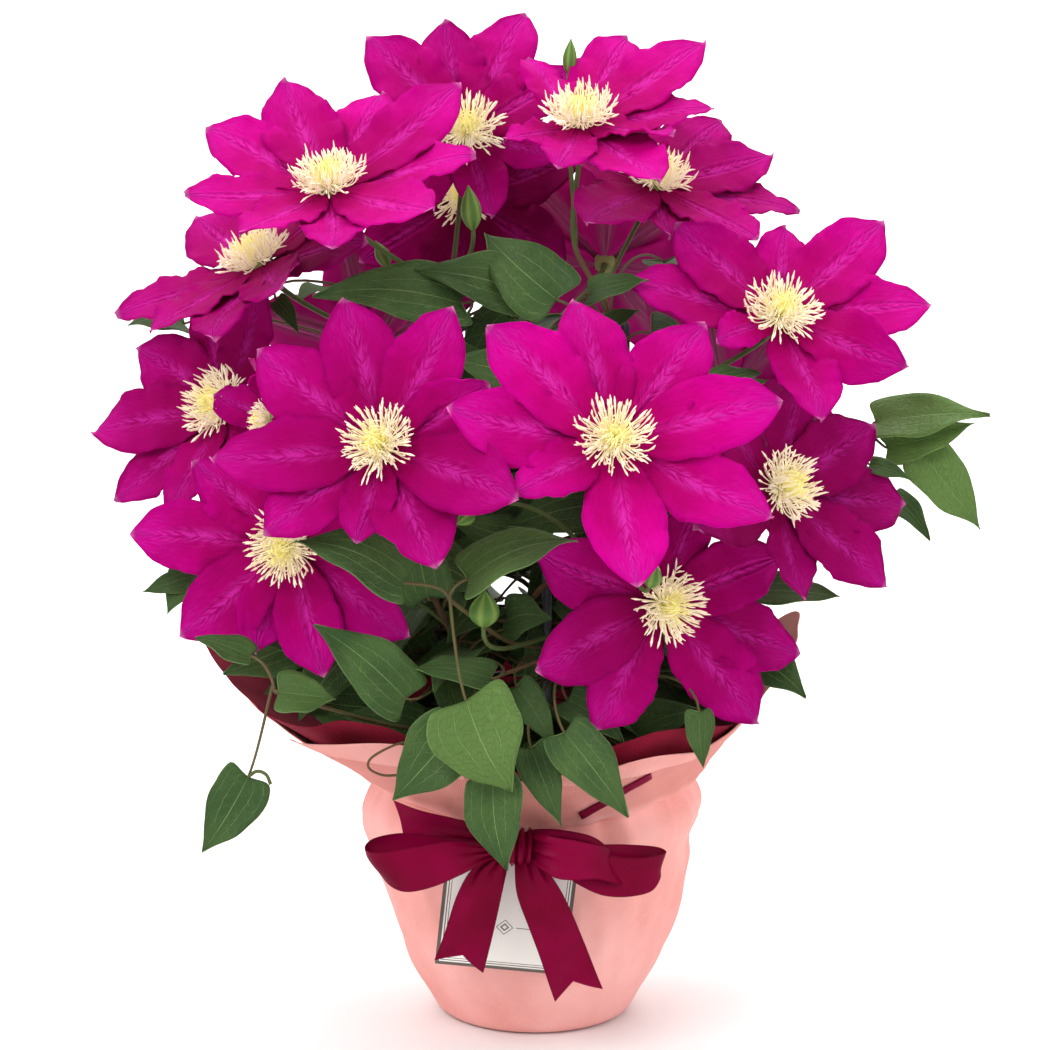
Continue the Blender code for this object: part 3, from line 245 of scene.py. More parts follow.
# Leaves: stem, height or place of its stalk, base, tip, full width, facing
LEAVES = (
    (0, (-36, -108, 210), (-55, -109, 217), (-97, -116, 238), 28, (0, -0.7, 0.7)),
    (0, (-36, -108, 210), (-28, -112, 219), (15, -118, 239), 27, (0, -0.6, 0.8)),
    (0, (-36, -108, 210), (-29, -112, 168), (-10, -112, 129), 40, (0.1, -1, 0.2)),
    (1, 150, (-33, -100, 153), (-60, -106, 124), 30, (0, -1, 0.3)),
    (0, 150, (-18, -104, 132), (-12, -108, 94), 25, (0, -1, 0.2)),
    (1, 165, (-55, -90, 164), (-92, -96, 197), 27, (0, -0.9, 0.4)),
    (1, 160, (-19, -88, 172), (-53, -88, 178), 17, (0, -0.6, 0.8)),
    (1, (-110, -94, 168), (-108, -96, 168), (-84, -94, 165), 21, (0, -0.7, 0.7)),
    (1, (-110, -94, 168), (-121, -84, 181), (-144, -82, 190), 15, (0, -0.5, 0.8)),
    (1, (-110, -94, 168), (-122, -90, 130), (-142, -94, 98), 24, (-0.1, -1, 0.1)),
    (3, 190, (-148, -24, 212), (-162, -34, 190), 18, (-0.3, -1, 0.3)),
    (3, 262, (-160, 30, 312), (-182, 10, 314), 18, (-0.2, -0.8, 0.6)),
    (3, 296, (-32, -42, 327), (-93, -60, 334), 28, (0, -0.9, 0.45)),
    (3, 306, (-3, -34, 330), (-51, -48, 342), 27, (0, -0.9, 0.5)),
    (2, 300, (9, -44, 329), (-22, -30, 357), 32, (0, -0.9, 0.45)),
    (2, 308, (24, -24, 330), (48, -34, 338), 18, (0, -0.6, 0.8)),
    (2, 276, (77, -42, 292), (98, -34, 298), 15, (0, -0.6, 0.8)),
    (2, (152, 6, 262), (153, 4, 270), (201, -12, 277), 26, (0.1, -0.7, 0.7)),
    (2, (152, 6, 262), (158, 0, 259), (195, -6, 272), 18, (0.1, -0.8, 0.5)),
    (2, (152, 6, 262), (174, -2, 256), (199, -16, 226), 27, (0.4, -0.9, 0.2)),
    (2, (128, 10, 256), (162, 8, 236), (178, -4, 219), 13, (0.3, -0.8, 0.4)),
    (2, 214, (101, -22, 198), (134, -32, 198), 22, (0, -0.5, 0.9)),
    (2, 178, (94, -36, 172), (118, -52, 158), 24, (0.2, -0.8, 0.5)),
    (0, 140, (70, -76, 155), (72, -84, 133), 13, (0.2, -1, 0.2)),
    (0, 156, (12, -98, 151), (39, -110, 118), 24, (0.1, -1, 0.4)),
    (0, 152, (-2, -92, 143), (11, -104, 113), 17, (0.1, -1, 0.4)),
    (0, 166, (14, -66, 158), (38, -80, 144), 20, (0, -0.7, 0.7)),
    (1, 196, (-46, -76, 205), (-54, -84, 238), 24, (0.1, -1, 0.1)),
    (3, 180, (-84, 10, 196), (-122, 4, 206), 26, (-0.3, -0.2, 1)),
    (3, 200, (-96, 40, 224), (-134, 52, 228), 28, (-0.3, 0.2, 1)),
    (3, 176, (-66, 34, 178), (-98, 54, 186), 27, (-0.3, 0.2, 1)),
    (3, 160, (-80, -16, 160), (-116, -22, 158), 24, (-0.3, -0.3, 1)),
    (3, 230, (-92, 58, 256), (-118, 86, 238), 24, (-0.4, 0.6, 0.7)),
    (4, 240, (-36, 104, 262), (-52, 138, 246), 28, (-0.2, 0.8, 0.6)),
    (4, 214, (-40, 96, 214), (-60, 128, 196), 28, (-0.2, 0.8, 0.6)),
    (4, 200, (6, 92, 214), (10, 130, 206), 30, (0, 0.6, 0.8)),
    (4, 176, (-26, 72, 176), (-38, 106, 184), 26, (0, 0.6, 0.8)),
    (4, 180, (32, 70, 180), (50, 102, 190), 26, (0.2, 0.6, 0.8)),
    (4, 196, (44, 92, 214), (62, 126, 196), 28, (0.2, 0.8, 0.6)),
    (4, 270, (6, 104, 282), (4, 138, 268), 26, (0, 0.8, 0.6)),
    (2, 186, (74, 22, 188), (110, 34, 196), 28, (0.3, 0.2, 1)),
    (2, 210, (104, 26, 224), (142, 34, 226), 28, (0.3, 0.1, 1)),
    (2, 276, (100, 18, 316), (138, 24, 314), 28, (0.3, 0.1, 1)),
    (2, 316, (60, 64, 338), (84, 96, 332), 26, (0.2, 0.6, 0.8)),
    (3, 300, (-84, 44, 326), (-112, 70, 322), 26, (-0.3, 0.4, 0.9)),
)

# How light the young leaves of the table above are, by row
YOUNG_LEAVES = {1: 0.62, 2: 0.78, 3: 0.50, 4: 0.20, 7: 0.60, 17: 0.80, 18: 0.86, 19: 0.82}
# Small leaves low in the collar and between the blooms, laid out as the table above
SMALL_LEAVES = (
    (3, 160, (-70, -45, 150), (-110, -54, 160), 25, (-0.2, -0.9, 0.5)),
    (1, 150, (-50, -45, 140), (-84, -58, 150), 23, (-0.2, -0.9, 0.5)),
    (3, 176, (-76, -28, 168), (-120, -38, 178), 27, (-0.2, -0.8, 0.7)),
    (1, 140, (-42, -48, 128), (-70, -62, 136), 20, (-0.1, -0.9, 0.5)),
    (3, 170, (-84, -44, 172), (-102, -64, 150), 22, (-0.1, -1.0, 0.3)),
    (3, 176, (-84, -6, 164), (-126, -14, 172), 27, (-0.2, -0.9, 0.4)),
    (3, 184, (-90, 10, 178), (-134, 4, 170), 27, (-0.2, -0.9, 0.4)),
    (3, 166, (-70, -22, 154), (-108, -34, 152), 24, (-0.2, -0.9, 0.4)),
    (3, 180, (-104, -30, 176), (-138, -34, 163), 23, (-0.3, -0.9, 0.3)),
    (3, 176, (-92, -16, 168), (-120, -30, 153), 22, (-0.2, -0.9, 0.3)),
    (3, 190, (-108, -12, 186), (-141, -14, 172), 24, (-0.3, -0.9, 0.3)),
    (3, 300, (-10, -10, 318), (-36, -14, 286), 28, (0, -0.9, 0.3)),
    (2, 290, (2, -12, 300), (-22, -18, 268), 28, (0, -0.9, 0.3)),
    (0, 140, (44, -50, 140), (72, -58, 152), 20, (0.2, -0.9, 0.5)),
    (0, 132, (36, -48, 134), (56, -60, 130), 17, (0.1, -0.9, 0.5)),
    (2, 160, (70, -26, 154), (100, -32, 168), 25, (0.3, -0.8, 0.6)),
    (0, 166, (-8, -75, 166), (8, -92, 143), 15, (0, -1, 0.3)),
    (3, 318, (-42, -10, 313), (-24, -20, 319), 10, (0, -0.8, 0.6)),
    (2, 300, (29, -10, 313), (46, -10, 322), 10, (0, -0.8, 0.6)),
    (2, 276, (81, -40, 289), (101, -40, 294), 10, (0, -0.8, 0.6)),
    (2, 262, (148, -20, 254), (164, -30, 250), 9, (0.2, -0.9, 0.4)),
    (3, 200, (-150, -28, 206), (-173, -30, 199), 12, (-0.3, -0.9, 0.3)),
    (3, 300, (-114, -14, 326), (-104, -28, 314), 9, (-0.1, -0.9, 0.4)),
)

# Loose stalks: stem, radius, tint, points
LOOSE_STALKS = (
    (1, 0.55, 0.9, ((-46, -90, 150), (-50, -96, 148), (-60, -100, 146), (-69, -101, 141),
                    (-70, -101, 136.5), (-64, -101, 133.5), (-56, -100, 133.5))),
    (0, 0.9, 1.0, ((-15, -80, 172), (-7, -76, 174), (1, -70, 176), (10, -60, 177))),
    (0, 1.3, 0.7, ((-1, -60, 202), (3, -58, 206), (8, -55, 209))),
    (1, 0.8, 0.5, ((-122, -90, 130), (-118, -92, 133), (-114, -94, 132), (-112, -95, 128))),
)

# Buds: stem, height of its stalk, foot, tip, radius
BUDS = (
    (3, 326, (-27, -24, 357), (-29, -28, 377), 4.6),
    (3, 316, (-66, 24, 338), (-72, 24, 350), 3.5),
    (2, 346, (15, 22, 424), (16, 22, 440), 3.2),
    (0, 208, (-26, -84, 243), (-33, -88, 238), 3.5),
    (0, 176, (-22, -98, 196), (-21, -100, 212), 6.5),
    (0, 240, (47, -104, 214), (50, -107, 224), 4.0),
)


def unit(vector):
    """Return the vector at length one."""
    vector = np.asarray(vector, dtype=float)
    return vector / np.linalg.norm(vector)


def smooth_step(low, high, value):
    """Ease from 0 at low to 1 at high."""
    share = np.clip((np.asarray(value, dtype=float) - low) / (high - low), 0.0, 1.0)
    return share * share * (3.0 - 2.0 * share)


def smooth_curve(x, xs, ys):
    """Read a monotone cubic through the points at x."""
    xs, ys = np.asarray(xs, dtype=float), np.asarray(ys, dtype=float)
    steps = np.diff(ys) / np.diff(xs)
    slopes = np.zeros_like(ys)
    slopes[1:-1] = np.where(steps[:-1] * steps[1:] > 0,
                            2 * steps[:-1] * steps[1:] / (steps[:-1] + steps[1:] + 1e-12), 0.0)
    slopes[0], slopes[-1] = steps[0], steps[-1]
    x = np.clip(np.asarray(x, dtype=float), xs[0], xs[-1])
    k = np.clip(np.searchsorted(xs, x, side="right") - 1, 0, len(xs) - 2)
    h = xs[k + 1] - xs[k]
    t = (x - xs[k]) / h
    return (ys[k] * (1 + 2 * t) * (1 - t) ** 2 + slopes[k] * h * t * (1 - t) ** 2
            + ys[k + 1] * t * t * (3 - 2 * t) + slopes[k + 1] * h * t * t * (t - 1))


def smooth_path(points, per_span):
    """Run a Catmull-Rom line through the points."""
    points = [np.asarray(p, dtype=float) for p in points]
    padded = [2 * points[0] - points[1]] + points + [2 * points[-1] - points[-2]]
    path = []
    for i in range(1, len(padded) - 2):
        p0, p1, p2, p3 = padded[i - 1:i + 3]
        for k in range(per_span):
            t = k / per_span
            path.append(0.5 * (2 * p1 + (p2 - p0) * t + (2 * p0 - 5 * p1 + 4 * p2 - p3) * t ** 2
                               + (3 * p1 - p0 - 3 * p2 + p3) * t ** 3))
    path.append(points[-1])
    return path


def bezier(start, start_pull, end_pull, end, count):
    """Return points of one cubic curve."""
    start, start_pull, end_pull, end = (np.asarray(p, dtype=float)
                                        for p in (start, start_pull, end_pull, end))
    path = []
    for k in range(count + 1):
        t = k / count
        path.append(start * (1 - t) ** 3 + 3 * start_pull * t * (1 - t) ** 2
                    + 3 * end_pull * t * t * (1 - t) + end * t ** 3)
    return path


def bloom_frame(bearing, elevation):
    """Return the right, up and facing directions of a bloom."""
    a, e = math.radians(bearing), math.radians(elevation)
    facing = np.array([math.sin(a) * math.cos(e), -math.cos(a) * math.cos(e), math.sin(e)])
    right = np.array([math.cos(a), math.sin(a), 0.0])
    return right, np.cross(facing, right), facing


def rest_on_body(item, nodes=()):
    """Attach a finished piece to the body, and hide the nodes it stands for."""
    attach(item, BODY)
    if nodes:
        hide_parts(*nodes)
    return item


class Piece:
    """Gathers grids, blades and rods in millimetres, then makes one mesh object in metres."""

    def __init__(self):
        self.points, self.faces, self.slots, self.uv, self.tint = [], [], [], [], []
        self.count = 0

    def add(self, points, uv, tint, faces, slots):
        """Add points with their UV and tint, and faces that count from the first of them."""
        points = np.asarray(points, dtype=float).reshape(-1, 3)
        self.points.append(points)
        self.uv.append(np.asarray(uv, dtype=float).reshape(-1, 2))
        self.tint.append(np.full(len(points), float(tint)) if np.isscalar(tint)
                         else np.asarray(tint, dtype=float))
        self.faces += [tuple(i + self.count for i in face) for face in faces]
        self.slots += slots if hasattr(slots, "__len__") else [slots] * len(faces)
        self.count += len(points)

    def blade(self, points, uv, thickness, slots=(0, 1), tint=0.5):
        """Add a thin blade around a grid of points, closed by a rim."""
        rows, columns = points.shape[:2]
        along = np.gradient(points, axis=0)
        across = np.gradient(points, axis=1)
        normal = np.cross(along, across)
        normal /= np.linalg.norm(normal, axis=2, keepdims=True) + 1e-12
        half = normal * thickness * 0.5
        size = rows * columns
        both = np.concatenate([(points + half).reshape(-1, 3), (points - half).reshape(-1, 3)])
        uv = np.asarray(uv).reshape(-1, 2)
        faces, marks = [], []
        for i in range(rows - 1):
            for j in range(columns - 1):
                a = i * columns + j
                quad = (a, a + columns, a + columns + 1, a + 1)
                faces += [quad, tuple(k + size for k in reversed(quad))]
                marks += [slots[0], slots[1]]
        edge = [j for j in range(columns)]
        edge += [i * columns + columns - 1 for i in range(1, rows)]
        edge += [(rows - 1) * columns + j for j in range(columns - 2, -1, -1)]
        edge += [i * columns for i in range(rows - 2, 0, -1)]
        for k, a in enumerate(edge):
            b = edge[(k + 1) % len(edge)]
            faces.append((a, b, b + size, a + size))
            marks.append(slots[0])
        self.add(both, np.concatenate([uv, uv]), tint, faces, marks)

    def rod(self, path, radii, sides, slot=0, tint=0.5, caps=True):
        """Add a rod swept along a path."""
        path = np.asarray(path, dtype=float)
        count = len(path)
        radii = np.full(count, float(radii)) if np.isscalar(radii) else np.asarray(radii)
        tangents = np.gradient(path, axis=0)
        tangents /= np.linalg.norm(tangents, axis=1, keepdims=True) + 1e-12
        guide = np.array([1.0, 0.0, 0.0])
        if abs(tangents[0] @ guide) > 0.9:
            guide = np.array([0.0, 1.0, 0.0])
        lengths = np.concatenate([[0], np.cumsum(np.linalg.norm(np.diff(path, axis=0), axis=1))])
        points, uv, faces = [], [], []
        for i in range(count):
            guide = unit(guide - tangents[i] * (guide @ tangents[i]))
            other = np.cross(tangents[i], guide)
            for k in range(sides):
                angle = 2 * math.pi * k / sides
                points.append(path[i] + radii[i] * (math.cos(angle) * guide
                                                    + math.sin(angle) * other))
                uv.append((k / sides, lengths[i] * 0.01))
        for i in range(count - 1):
            for k in range(sides):
                a, b = i * sides + k, i * sides + (k + 1) % sides
                faces.append((a, b, b + sides, a + sides))
        if caps:
            faces.append(tuple(reversed(range(sides))))
            faces.append(tuple(range((count - 1) * sides, count * sides)))
        self.add(points, uv, tint, faces, slot)

    def turned(self, profile, sides, slot=0, tint=0.5, centre=(0, 0, 0)):
        """Add a solid turned around an upright line; a radius of zero closes it."""
        points, uv, rings = [], [], []
        for row, (radius, height) in enumerate(profile):
            if radius <= 0:
                rings.append([len(points)] * sides)
                points.append((centre[0], centre[1], centre[2] + height))
                uv.append((0.5, height * 0.01))
                continue
            rings.append(list(range(len(points), len(points) + sides)))
            for k in range(sides):
                angle = 2 * math.pi * k / sides
                points.append((centre[0] + radius * math.cos(angle),
                               centre[1] + radius * math.sin(angle), centre[2] + height))
                uv.append((k / sides, height * 0.01))
        faces = []
        for low, high in zip(rings, rings[1:]):
            for k in range(sides):
                n = (k + 1) % sides
                face = [low[k], low[n], high[n], high[k]]
                face = [v for i, v in enumerate(face) if v not in face[:i]]
                if len(face) > 2:
                    faces.append(tuple(face))
        self.add(points, uv, tint, faces, slot)

    def finish(self, name, materials, sharp=None):
        """Make the mesh object, smooth shaded, with its UV map and tint."""
        mesh = bpy.data.meshes.new(name)
        points = np.concatenate(self.points) * MM
        mesh.from_pydata(points.tolist(), [], self.faces)
        for material in materials:
            mesh.materials.append(material)
        mesh.polygons.foreach_set("material_index", self.slots)
        mesh.polygons.foreach_set("use_smooth", [True] * len(self.faces))
        corner = np.empty(len(mesh.loops), dtype=np.int32)
        mesh.loops.foreach_get("vertex_index", corner)
        layer = mesh.uv_layers.new(name="UVMap")
        layer.data.foreach_set("uv", np.concatenate(self.uv)[corner].ravel())
        mark = mesh.attributes.new("tint", "FLOAT", "POINT")
        mark.data.foreach_set("value", np.concatenate(self.tint))
        mesh.update()
        if sharp is not None:
            mesh.set_sharp_from_angle(angle=math.radians(sharp))
        item = bpy.data.objects.new(name, mesh)
        bpy.context.scene.collection.objects.link(item)
        return item


class Value:
    """A number socket; an expression on it adds Math nodes."""

    def __init__(self, finish, socket):
        self.finish, self.socket = finish, socket

    def math(self, operation, *others):
        """Add one Math node."""
        inputs = {0: self}
        for number, other in enumerate(others):
            inputs[number + 1] = other
        node = self.finish.node("ShaderNodeMath", {"operation": operation}, inputs)
        return Value(self.finish, node.outputs[0])

    def __add__(self, other):
        return self.math("ADD", other)

    __radd__ = __add__

    def __mul__(self, other):
        return self.math("MULTIPLY", other)

    __rmul__ = __mul__

    def __sub__(self, other):
        return self.math("SUBTRACT", other)

    def __rsub__(self, other):
        return (self * -1.0).math("ADD", other)

    def __truediv__(self, other):
        return self.math("DIVIDE", other)

    def __pow__(self, other):
        return self.math("POWER", other)

    def smooth(self, low, high):
        """Ease from 0 at low to 1 at high."""
        node = self.finish.node("ShaderNodeMapRange", {"interpolation_type": "SMOOTHSTEP"},
                                {0: self, 1: low, 2: high, 3: 0.0, 4: 1.0})
        return Value(self.finish, node.outputs[0])


class Finish:
    """One procedural material."""

    def __init__(self, name, roughness=0.5, metallic=0.0, coat=0.0, sheen=0.0, specular=0.5):
        self.material = bpy.data.materials.new(name)
        self.material.use_nodes = True
        self.tree = self.material.node_tree
        self.shader = self.tree.nodes["Principled BSDF"]
        for socket, number in (("Roughness", roughness), ("Metallic", metallic),
                               ("Coat Weight", coat), ("Sheen Weight", sheen),
                               ("Specular IOR Level", specular)):
            self.shader.inputs[socket].default_value = number

    def node(self, kind, settings=None, inputs=None):
        """Add a node, set it up, then fill its sockets with values or links."""
        node = self.tree.nodes.new(kind)
        for name, setting in (settings or {}).items():
            setattr(node, name, setting)
        for key, entry in (inputs or {}).items():
            self.plug(node.inputs[key], entry)
        return node

    def plug(self, socket, entry):
        """Link a socket or Value, or set a plain value."""
        if isinstance(entry, Value):
            entry = entry.socket
        if isinstance(entry, bpy.types.NodeSocket):
            self.tree.links.new(entry, socket)
        elif hasattr(entry, "__len__") and len(entry) == 3 and socket.type == "RGBA":
            socket.default_value = (*entry, 1.0)
        else:
            socket.default_value = entry

    def place(self, output="Object", scale=(1.0, 1.0, 1.0)):
        """Return the object's coordinates, or its UV, stretched by scale."""
        coords = self.node("ShaderNodeTexCoord")
        mapping = self.node("ShaderNodeMapping", None,
                            {"Vector": coords.outputs[output], "Scale": scale})
        return mapping.outputs[0]

    def uv(self):
        """Return the two UV values."""
        parts = self.node("ShaderNodeSeparateXYZ", None, {0: self.place("UV")})
        return Value(self, parts.outputs[0]), Value(self, parts.outputs[1])

    def mark(self, name="tint"):
        """Return a stored number of the mesh."""
        node = self.node("ShaderNodeAttribute", {"attribute_name": name})
        return Value(self, node.outputs["Fac"])

    def noise(self, place, scale, detail=3.0, roughness=0.5, distortion=0.0):
        """Return smooth noise."""
        node = self.node("ShaderNodeTexNoise", None,
                         {"Vector": place, "Scale": scale, "Detail": detail,
                          "Roughness": roughness, "Distortion": distortion})
        return Value(self, node.outputs["Fac"])

    def cells(self, place, scale, feature="F1"):
        """Return cell distance noise."""
        node = self.node("ShaderNodeTexVoronoi", {"feature": feature},
                         {"Vector": place, "Scale": scale})
        return Value(self, node.outputs["Distance"])

    def distance(self, place, spot):
        """Distance from a point, in metres."""
        node = self.node("ShaderNodeVectorMath", {"operation": "DISTANCE"}, {0: place, 1: spot})
        return Value(self, node.outputs["Value"])

    def blend(self, factor, first, second, mode="MIX"):
        """Blend two colours."""
        node = self.node("ShaderNodeMix", {"data_type": "RGBA", "blend_type": mode},
                         {0: factor, 6: first, 7: second})
        return node.outputs[2]

    def relief(self, height, distance, strength=1.0):
        """Bump the surface by a height."""
        bump = self.node("ShaderNodeBump", None,
                         {"Height": height, "Distance": distance, "Strength": strength})
        self.tree.links.new(bump.outputs[0], self.shader.inputs["Normal"])

    def set(self, **entries):
        """Fill sockets of the shader; an underscore stands for a space."""
        for name, entry in entries.items():
            self.plug(self.shader.inputs[name.replace("_", " ")], entry)
        return self.material


def petal_face_finish(sizes):
    """Velvety magenta with a feathered lighter bar, darker flanks and fine veins, painted sheen at
    the edges and painted shade on shaded blooms.
    """
    skin = Finish("petal_face", 0.62, specular=0.03)
    across, along = skin.uv()
    side = (across * 2.0 - 1.0).math("ABSOLUTE")
    tint = skin.mark()
    place = skin.place("Object")
    cloud = skin.noise(place, 48.0, 3.0, 0.6)
    grain = skin.noise(place, 900.0, 2.0, 0.6)
    streak = skin.noise(skin.place("UV", (30.0, 3.4, 1.0)), 1.0, 5.0, 0.7, 0.5)
    hairs = skin.noise(skin.place("UV", (90.0, 9.0, 1.0)), 1.0, 4.0, 0.65, 0.3)
    slant = skin.node("ShaderNodeCombineXYZ", None, {
        0: (along - side * 0.45) * 34.0, 1: across * 9.0}).outputs[0]
    barbs = skin.noise(slant, 1.0, 4.0, 0.7, 0.4)
    bar = (1.0 - side.smooth(0.02, 0.36)) * along.smooth(0.08, 0.42)
    ends = along.smooth(0.60, 0.96) * (1.0 - side.smooth(0.5, 1.0))
    flank = (1.0 - along.smooth(0.04, 0.78)) * (1.0 - bar * 0.35)
    outer = side.smooth(0.55, 1.0).math("MAXIMUM", along.smooth(0.45, 0.95))
    base = skin.blend(cloud.smooth(0.35, 0.65), sizes.petal_shade, sizes.petal_colour)
    # Painted sheen: bluer light over the edges and the outer part, less on shaded petals
    base = skin.blend(outer * (0.55 - tint * 0.25), base, sizes.petal_edge_sheen)
    base = skin.blend(flank * 0.85, base, sizes.petal_heart)
    # Painted shade: petals of shaded blooms darken, a little less at their ends
    base = skin.blend(tint * (0.92 - ends * 0.30), base, sizes.petal_deep)
    base = skin.blend(hairs.smooth(0.46, 0.66) * (0.42 - ends * 0.25), base, sizes.petal_vein)
    light = (bar * (barbs * 0.6 + streak * 0.4).smooth(0.45, 0.58)).math(
        "MAXIMUM", ends * (hairs * 0.5 + barbs * 0.5).smooth(0.48, 0.58) * 0.8)
    # The lighter bar and streaks are weaker on petals with painted shade
    base = skin.blend(light * (0.66 - tint * 0.34), base, sizes.petal_bar)
    base = skin.blend(along.smooth(0.955, 1.0) * 0.75, base, sizes.petal_tip)
    ribs = (side * 27.0).math("COSINE") * (1.0 - side.smooth(0.12, 0.36))
    skin.relief(ribs * 0.8 + hairs * 0.8 + streak * 0.8 + grain * 0.2 + cloud * 0.9, 0.0008,
                0.85)
    return skin.set(Base_Color=base, Roughness=0.55 + grain * 0.2)


def petal_back_finish(sizes):
    """Duller lilac-pink back with a pale, streaked bar."""
    skin = Finish("petal_back", 0.65, specular=0.08)
    across, along = skin.uv()
    side = (across * 2.0 - 1.0).math("ABSOLUTE")
    streak = skin.noise(skin.place("UV", (40.0, 2.6, 1.0)), 1.0, 4.0, 0.65)
    cloud = skin.noise(skin.place("Object"), 60.0, 3.0)
    bar = (1.0 - side.smooth(0.12, 0.46)) * (1.0 - along.smooth(0.75, 1.0) * 0.6)
    base = skin.blend(cloud * 0.5 + side * 0.4, sizes.petal_back, sizes.petal_colour)
    base = skin.blend(streak.smooth(0.4, 0.7) * 0.5, base, sizes.petal_shade)
    base = skin.blend(bar * streak.smooth(0.25, 0.6) * 0.8, base, sizes.petal_back_bar)
    ribs = (side * 27.0).math("COSINE") * (1.0 - side.smooth(0.12, 0.36))
    skin.relief(ribs * -0.8 + streak * 0.6, 0.0006, 0.75)
    return skin.set(Base_Color=base)


def stamen_finish(name, outer, inner, roughness):
    """Cream filament or anther, yellower towards the middle of the crown, with a faint painted glow.
    """
    skin = Finish(name, roughness, specular=0.3)
    share = skin.mark("share")
    grain = skin.noise(skin.place("Object"), 900.0, 2.0)
    base = skin.blend(share.smooth(0.08, 0.45), inner, outer)
    base = skin.blend(grain.smooth(0.55, 0.8) * 0.15, base, (0.80, 0.55, 0.28))
    skin.relief(grain, 0.0002, 0.5)
    # A faint glow of the base colour is painted light that lifts the shade between the stamens
    return skin.set(Base_Color=base, Emission_Color=base, Emission_Strength=0.13)


def leaf_face_finish(sizes):
    """Green leaf with pale curved veins from its foot and a fine net between them."""
    skin = Finish("leaf_face", 0.45, specular=0.16)
    across, along = skin.uv()
    side = (across * 2.0 - 1.0).math("ABSOLUTE")
    tint = skin.mark()
    drift = skin.noise(skin.place("Object"), 45.0, 3.0)
    wander = (skin.noise(skin.place("UV", (3.0, 5.0, 1.0)), 1.0, 2.0) - 0.5) * 0.10
    width = 0.012 + along * 0.016
    veins = (1.0 - (side / width).smooth(0.5, 1.6)) * (1.0 - along.smooth(0.90, 1.0) * 0.6)
    for spot, strength, fade in ((0.40, 0.75, 0.80), (0.76, 0.5, 0.50)):
        line = ((side + wander - spot).math("ABSOLUTE") / (width * 0.8)).smooth(0.3, 1.6)
        veins = veins.math("MAXIMUM", (1.0 - line) * (1.0 - along.smooth(fade - 0.25, fade))
                           * strength)
    branch = ((along * 7.0 - side * 2.4 + wander * 3.0) * 2.0 * math.pi).math("SINE")
    veins = veins.math("MAXIMUM", branch.smooth(0.975, 1.0) * 0.40 * along.smooth(0.1, 0.3))
    net = skin.cells(skin.place("UV", (11.0, 17.0, 1.0)), 1.0, "DISTANCE_TO_EDGE")
    mesh = 1.0 - net.smooth(0.0, 0.06)
    base = skin.blend(drift.smooth(0.3, 0.7), sizes.leaf_dark, sizes.leaf_mid)
    base = skin.blend(tint.smooth(0.40, 1.0), base, sizes.leaf_bright)
    base = skin.blend(mesh * 0.16, base, sizes.leaf_vein)
    base = skin.blend(veins * 0.70, base, sizes.leaf_vein)
    base = skin.blend(side.smooth(0.965, 1.0) * 0.35, base, sizes.leaf_vein)
    skin.relief(drift * 0.8 - veins * 0.8 - mesh * 0.35, 0.0008, 0.85)
    return skin.set(Base_Color=base, Roughness=0.38 + drift * 0.2)


def leaf_back_finish(sizes):
    """Paler, duller back of the leaf."""
    skin = Finish("leaf_back", 0.6, specular=0.3)
    across, along = skin.uv()
    side = (across * 2.0 - 1.0).math("ABSOLUTE")
    veins = 1.0 - (side / 0.02).smooth(0.4, 1.6)
    drift = skin.noise(skin.place("Object"), 60.0, 3.0)
    base = skin.blend(drift, sizes.leaf_back, sizes.leaf_mid)
    base = skin.blend(veins * 0.6, base, sizes.leaf_vein)
    skin.relief(veins + drift * 0.4, 0.0006, 0.6)
    return skin.set(Base_Color=base)


def stem_finish(name, young, old, scale=140.0, stripes=0.0):
    """Stalk between two colours by its tint, streaked or striped along its length."""
    skin = Finish(name, 0.55, specular=0.2)
    streak = skin.noise(skin.place("UV", (12.0, 6.0, 1.0)), 1.0, 3.0)
    drift = skin.noise(skin.place("Object"), scale, 2.0)
    base = skin.blend((skin.mark() + (drift - 0.5) * 0.5).smooth(0.2, 0.8), young, old)
    if stripes:
        line = ((skin.uv()[0] * stripes * 2.0 * math.pi).math("SINE") * 0.5 + 0.5) ** 2.0
        base = skin.blend(line * (0.4 + streak * 0.5), base, old)
    base = skin.blend(streak * 0.3, base, (0.02, 0.02, 0.01))
    skin.relief(streak + drift * 0.4, 0.0003, 0.7)
    return skin.set(Base_Color=base)


def fabric_finish(name, colour, shade, fibre, collar, patch_shade=None):
    """Pressed non-woven sheet: fine fibres, soft clouds, and woven lines where it flares, with
    painted shade there and on a lilac-grey patch.
    """
    skin = Finish(name, 0.85, sheen=0.03, specular=0.07)
    place = skin.place("Object")
    cloud = skin.noise(place, 22.0, 3.0, 0.55)
    hairs = skin.noise(skin.place("Object", (1.0, 1.0, 2.5)), 620.0, 4.0, 0.7, 1.5)
    around_it, climb = skin.uv()
    flare = climb.smooth(0.130, 0.150)
    weave = ((around_it * WEAVE_TURNS + hairs).math("SINE") * 0.5 + 0.5) * flare
    base = skin.blend(cloud.smooth(0.25, 0.75), shade, colour)
    base = skin.blend(hairs.smooth(0.45, 0.75) * 0.30, base, fibre)
    if patch_shade is not None:
        # Painted lilac-grey shade on a patch of the collar, deeper on the woven lines
        patch = 1.0 - skin.distance(place, SHADED_PATCH).smooth(0.012, 0.022)
        base = skin.blend(patch * (0.30 + weave * 0.35), base, patch_shade)
    # Painted shade where the sheet flares into the collar, deeper on the woven lines
    base = skin.blend(flare * (0.55 + weave * 0.40), base, collar)
    skin.relief(hairs * 0.45 + cloud * 0.7 + weave * 0.6, 0.0005, 0.6)
    return skin.set(Base_Color=base)


